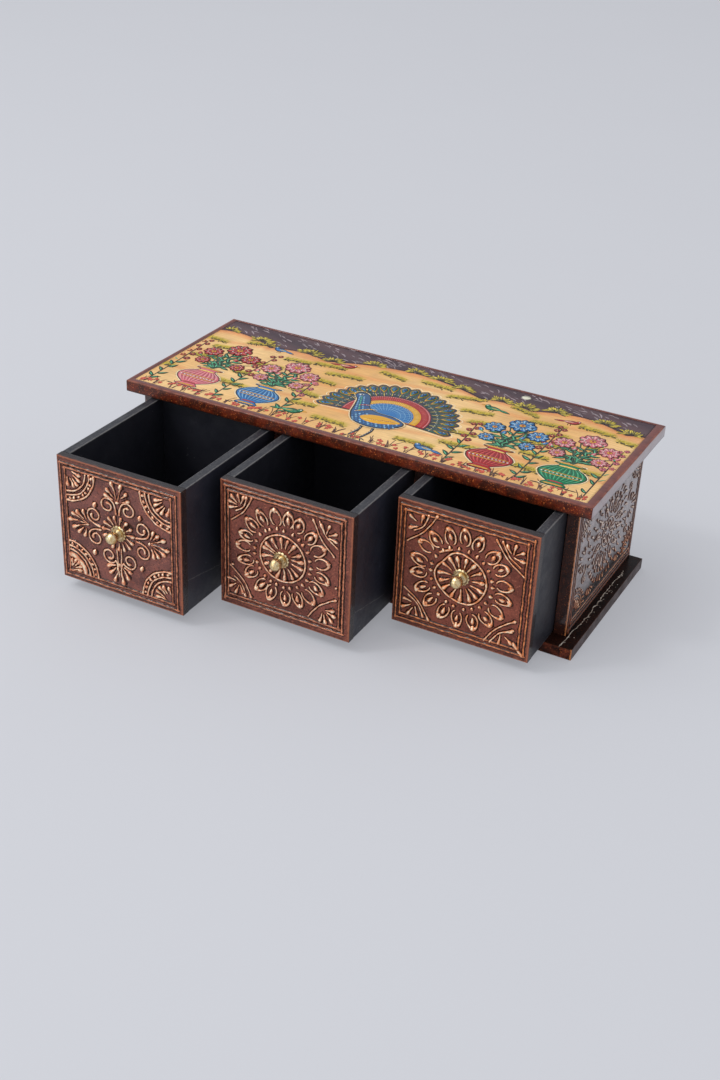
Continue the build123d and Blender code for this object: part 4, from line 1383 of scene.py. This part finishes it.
def border_flowers(p):
    """Clumps of thin dark blades with red flowers, along the front of the picture."""
    rng = p.rng
    x = FIELD_LEFT + 5
    base = FIELD_FRONT + 1.0
    while x < FIELD_RIGHT - 5:
        for _ in range(rng.choice((5, 6, 7))):
            tall = rng.uniform(4.0, 12.5)
            lean = rng.uniform(-0.62, 0.62) * tall * 0.75
            blade = moved(x + rng.uniform(-1.2, 1.2), base, (0, 0), (lean * 0.3, tall * 0.5), (lean, tall))
            p.stroke(spline(blade, 1.3), 0.55, p.varied(STEM_RED, 0.25), 0.0, 0.05, 0.6)
        for _ in range(rng.choice((3, 4))):
            fx, fy = x + rng.uniform(-7, 7), base + rng.uniform(1.2, 7.6)
            fx = clamp(fx, FIELD_LEFT + 3.5, FIELD_RIGHT - 3.5)
            for turn in turns(5, 90, at=0):
                p.dab(fx, fy, turn + rng.uniform(-14, 14), rng.uniform(1.3, 1.9), 1.2,
                      p.varied(rgb(214, 88, 66), 0.14), 0.06, full=0.6)
            p.dab(fx, fy - 0.5, -90 + rng.uniform(-30, 30), rng.uniform(1.6, 2.8), 0.5, STEM_RED, 0.03)
        x += rng.uniform(8.0, 12.5)


def paint_top():
    """All the layers of the picture, from the ground up."""
    rng = random.Random(97)
    runs = [(x + rng.uniform(-2, 2), y + rng.uniform(-1, 1), length, slope)
            for x, y, length, slope in GRASS]

    def hill_colour(x, y):
        below = ridge(x) - y
        colour = mixed(OCHRE, OCHRE_PALE, 0.5 + 0.5 * math.sin(x * 0.045 + 0.6 * math.sin(y * 0.09)))
        colour = mixed(colour, OCHRE_ORANGE, 0.75 * (1 - soft_step(below, 0.4, 8.0)))
        for level_y, phase in ((30, 0.4), (5, 2.0), (-25, 4.1)):
            crest = level_y + 3.5 * math.sin(x * 0.055 + phase)
            if crest < ridge(x) - 3:
                fold = 0.42 * (1 - soft_step(abs(crest - y - 2.2), 0.2, 4.4))
                colour = mixed(colour, OCHRE_ORANGE, fold)
        for gx, gy, length, slope in runs:
            off = abs(y - (gy + 1.4 + slope * (x - gx)))
            out = abs(x - gx) - length / 2
            wash = 0.95 * (1 - soft_step(off, 0.8, 4.8)) * (1 - soft_step(out, -3, 3))
            colour = mixed(colour, rgb(196, 174, 56), wash)
        return colour

    def sky_colour(x, y):
        t = 0.5 + 0.5 * math.sin(x * 0.07 + y * 0.3)
        near = 1 - soft_step(y - ridge(x), 0.0, 2.2)
        return mixed(mixed(NIGHT, NIGHT_DEEP, t), rgb(40, 30, 34), 0.6 * near)

    ground = Paint(rng, 0.01)
    ground.sheet(200, 64, lambda x: FIELD_FRONT + 0.35, ridge, hill_colour, 0.05)
    ground.finish("painted_hills", "hill_paint", 0.15, 0.04)

    sky = Paint(rng, 0.01)
    sky.sheet(200, 12, lambda x: ridge(x) - 0.1, lambda x: FIELD_BACK - 1.0, sky_colour, 0.04)
    for _ in range(SKY_STREAKS):
        x = rng.uniform(FIELD_LEFT + 4, FIELD_RIGHT - 11)
        y = rng.uniform(ridge(x) + 4.0, FIELD_BACK - 1.8)
        turn = clamp(rng.gauss(-26, 16), -60, 10)
        sky.dab(x, y, turn, rng.uniform(3.0, 8.0), rng.uniform(0.8, 1.7),
                sky.varied(rgb(148, 131, 138), 0.3), 0.04, 0.03, bow=rng.uniform(0.02, 0.16))
    sky.spot(66, 52.4, 6.6, rgb(226, 224, 204), 0.05, 0.08)
    sky.finish("painted_sky", "sky_paint", 0.16)

    plants = Paint(rng, 0.07)
    for run in runs:
        grass(plants, *run)
    plants.level = LEVEL + 0.08
    x = FIELD_LEFT + 6
    while x < FIELD_RIGHT - 4:
        y = ridge(x)
        size = rng.uniform(14.0, 18.0)
        if y + size * 0.5 < FIELD_BACK - 1.5:
            tuft(plants, x, y + 1.2, size)
        x += size * (1.12 if rng.random() < 0.6 else rng.uniform(1.6, 2.1))
    border_flowers(plants)
    plants.finish("painted_grass", "leaf_paint", 0.10)

    vases = Paint(rng, 0.09)
    for x, y, *colours in ((-119, -47, PINK, PINK_PALE, CRIMSON, CRIMSON_PALE),
                           (-74, -50, BLUE, BLUE_PALE, PINK, PINK_PALE),
                           (80, -50, CRIMSON, CRIMSON_PALE, BLUE, BLUE_PALE),
                           (123, -47, GREEN, GREEN_PALE, PINK, PINK_PALE)):
        vase_plant(vases, x, y, *colours)
    for x, tall, *colours in ((-143.5, 72, CRIMSON, GOLD), (-96.5, 74, CRIMSON, GOLD_PALE),
                              (-53.0, 52, PINK, GOLD), (58.5, 54, CRIMSON, GOLD),
                              (101.5, 76, CRIMSON, GOLD_PALE), (142.5, 66, PINK, CRIMSON)):
        flower_stalk(vases, x, -52, tall, *colours)
    vases.finish("painted_vases", "vase_paint", 0.08)

    birds = Paint(rng, 0.06)
    peacock(birds, 2, -20)
    birds.level = LEVEL + 0.10
    for bird in ((-47, -43, 6.2, 1, GREEN, GREEN_PALE), (-50, 33, 5.2, 1, CRIMSON, PINK_PALE),
                 (56, 26, 5.4, -1, GREEN, GREEN_PALE), (44, -45, 6.0, -1, BLUE, BLUE_PALE),
                 (-97, 32, 4.8, -1, BLUE, BLUE_PALE), (102, 34, 4.8, 1, CRIMSON, PINK_PALE)):
        small_bird(birds, *bird)
    birds.finish("painted_birds", "bird_paint", 0.08)


# ---------------------------------------------------------------- split along the base

CRACK_END = 34
CRACK_SPLINTERS = 9
CRACK_CRUMBS = 30


def crack():
    """The pale ragged line where the paint has split along the base's side strip."""
    rng = random.Random(83)
    strip_low, strip_high = corners("base_strip_right")
    seam, top = strip_low[0], strip_high[2]
    pile = Pile(rng, lambda u, v, h: (u, v, top + h * 0.6), skirt=0.0)
    y = strip_low[1] + 0.15
    path, radii = [], []
    side = 0.0
    while y < CRACK_END:
        drift = 2.6 * soft_step(y, strip_low[1], -24)
        path.append((seam + 0.2 + drift + side, y))
        swell = rng.uniform(0.15, 0.30) * (1.6 if rng.random() < 0.15 else 1.0)
        radii.append(swell * (1 if y < 4 else 0.75))
        side = clamp(side * 0.7 + rng.gauss(0.0, 0.26), -0.7, 0.7)
        y += rng.uniform(0.9, 2.2)
    radii[0] = 0.2
    radii[-1] = 0.05
    pile.tube(path, radii, 0.5)
    for _ in range(CRACK_SPLINTERS):
        u, v = path[rng.randrange(3, len(path) - 3)]
        out = [(u, v), (u + rng.uniform(0.5, 0.9), v + rng.uniform(0.4, 1.4)),
               (u + rng.uniform(1.0, 1.9), v + rng.uniform(1.4, 3.6))]
        pile.tube(out, [0.16, 0.12, 0.05], 0.5)
    for _ in range(CRACK_CRUMBS):
        u, v = path[rng.randrange(2, len(path) - 2)]
        pile.dot(u + rng.uniform(-0.5, 3.4), v + rng.uniform(-1, 1), rng.uniform(0.3, 0.7), 0.4)
    return pile


# ---------------------------------------------------------------- making it all

def dress(material, *names):
    for name in names:
        mesh = nodes[name].data
        mesh.materials.clear()
        mesh.materials.append(material)


bpy.context.scene.view_settings.view_transform = "Standard"
make_camera()
make_lights()
make_floor()

# the scratch on a drawer's right side, as (y, z) of its two ends, which also brings a painted paler and
# bluer reflection on that side, and how red a front is
SCUFFS_AND_SHEEN = {"left": ((-150.5, 29.0), (-112.0, 22.0)), "middle": ((-125.0, 25.0), (-84.0, 17.5))}
REDNESS = {"left": 0.0, "middle": 0.7, "right": 1.0}
# where the painted knob shade sits on the left front, as (x, z) in mm from its knob's middle
KNOB_SHADE_OFFSET = (6.5, 6.0)

steel = plain_steel("steel")
for drawer in SIDES:
    name = drawer + "_drawer_"
    knob_low, knob_high = corners(name + "knob_rosette")
    knob_shade = None
    if drawer == "left":
        knob_shade = tuple((knob_low[i] + knob_high[i]) / 2 + off for i, off in zip((0, 2), KNOB_SHADE_OFFSET))
    front_low, front_high = corners(name + "front")
    dress(front_lacquer(name + "lacquer", front_low, front_high, REDNESS[drawer], knob_shade),
          name + "front", name + "brads")
    back_y = corners(name + "back")[1][1]
    for board in ("side_left", "side_right", "back", "bottom"):
        drawer_scuff_and_sheen = SCUFFS_AND_SHEEN.get(drawer) if board == "side_right" else None
        low, high = corners(name + board)
        if board in ("side_left", "side_right"):
            rim = ((low[0], front_low[1], low[2]), (high[0], back_y, high[2]))
        else:
            rim = ((front_low[0], low[1], low[2]), (front_high[0], high[1], high[2]))
        dress(black_paint(name + board + "_paint", rim, drawer_scuff_and_sheen), name + board)
    dress(aged_brass(name + "brass", knob_low, knob_high, corners(name + "knob")[0][1]),
          name + "knob", name + "knob_rosette")
    dress(steel, name + "knob_washer", name + "knob_nut")

base = (corners("base_strip_left")[0], corners("base_strip_right")[1])
for board in ("base_board", "base_strip_left", "base_strip_right"):
    dress(case_lacquer(board + "_lacquer", *base, coat=0.06, specular=0.08, glare_amount=0.32, glare_from=(-8, 4),
                       warmth=0.9), board)
for board in ("side_panel_left", "side_panel_right", "divider_left", "divider_right", "back_panel"):
    dress(case_lacquer(board + "_lacquer", *corners(board), coat=0.9, specular=0.3, glare_amount=0.9,
                       glare_from=(13, 34)), board)
dress(nodes["base_board"].data.materials[0], "base_brads")
dress(nodes["back_panel"].data.materials[0], "back_brads")

top = painted_board().make("top_board_painted", "case", "painted_top", top_lacquer(TOP_LOW[2]))
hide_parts("top_board", "top_brads")
paint_top()

for drawer, relief, tint in (("left", left_front(), COPPER), ("middle", middle_front(), COPPER),
                             ("right", right_front(), COPPER_ORANGE)):
    relief.make(drawer + "_front_relief", drawer + "_drawer", "lacquered_front",
                relief_copper(drawer + "_relief_copper", tint))
# the case relief takes the grey of the case's painted glare, with a pale painted highlight, and turns warmer
# low down where that glare clears
case_copper = relief_copper("case_relief_copper", rgb(158, 141, 134), rgb(27, 14, 11), rgb(236, 218, 204),
                            -0.05, corners("side_panel_right")[0][2])
for panel in ("left", "right"):
    panel_relief(panel).make(panel + "_panel_relief", "case", "lacquered_case", case_copper)
crack().make("base_split", "case", "lacquered_case", chalk("bare_filler"))
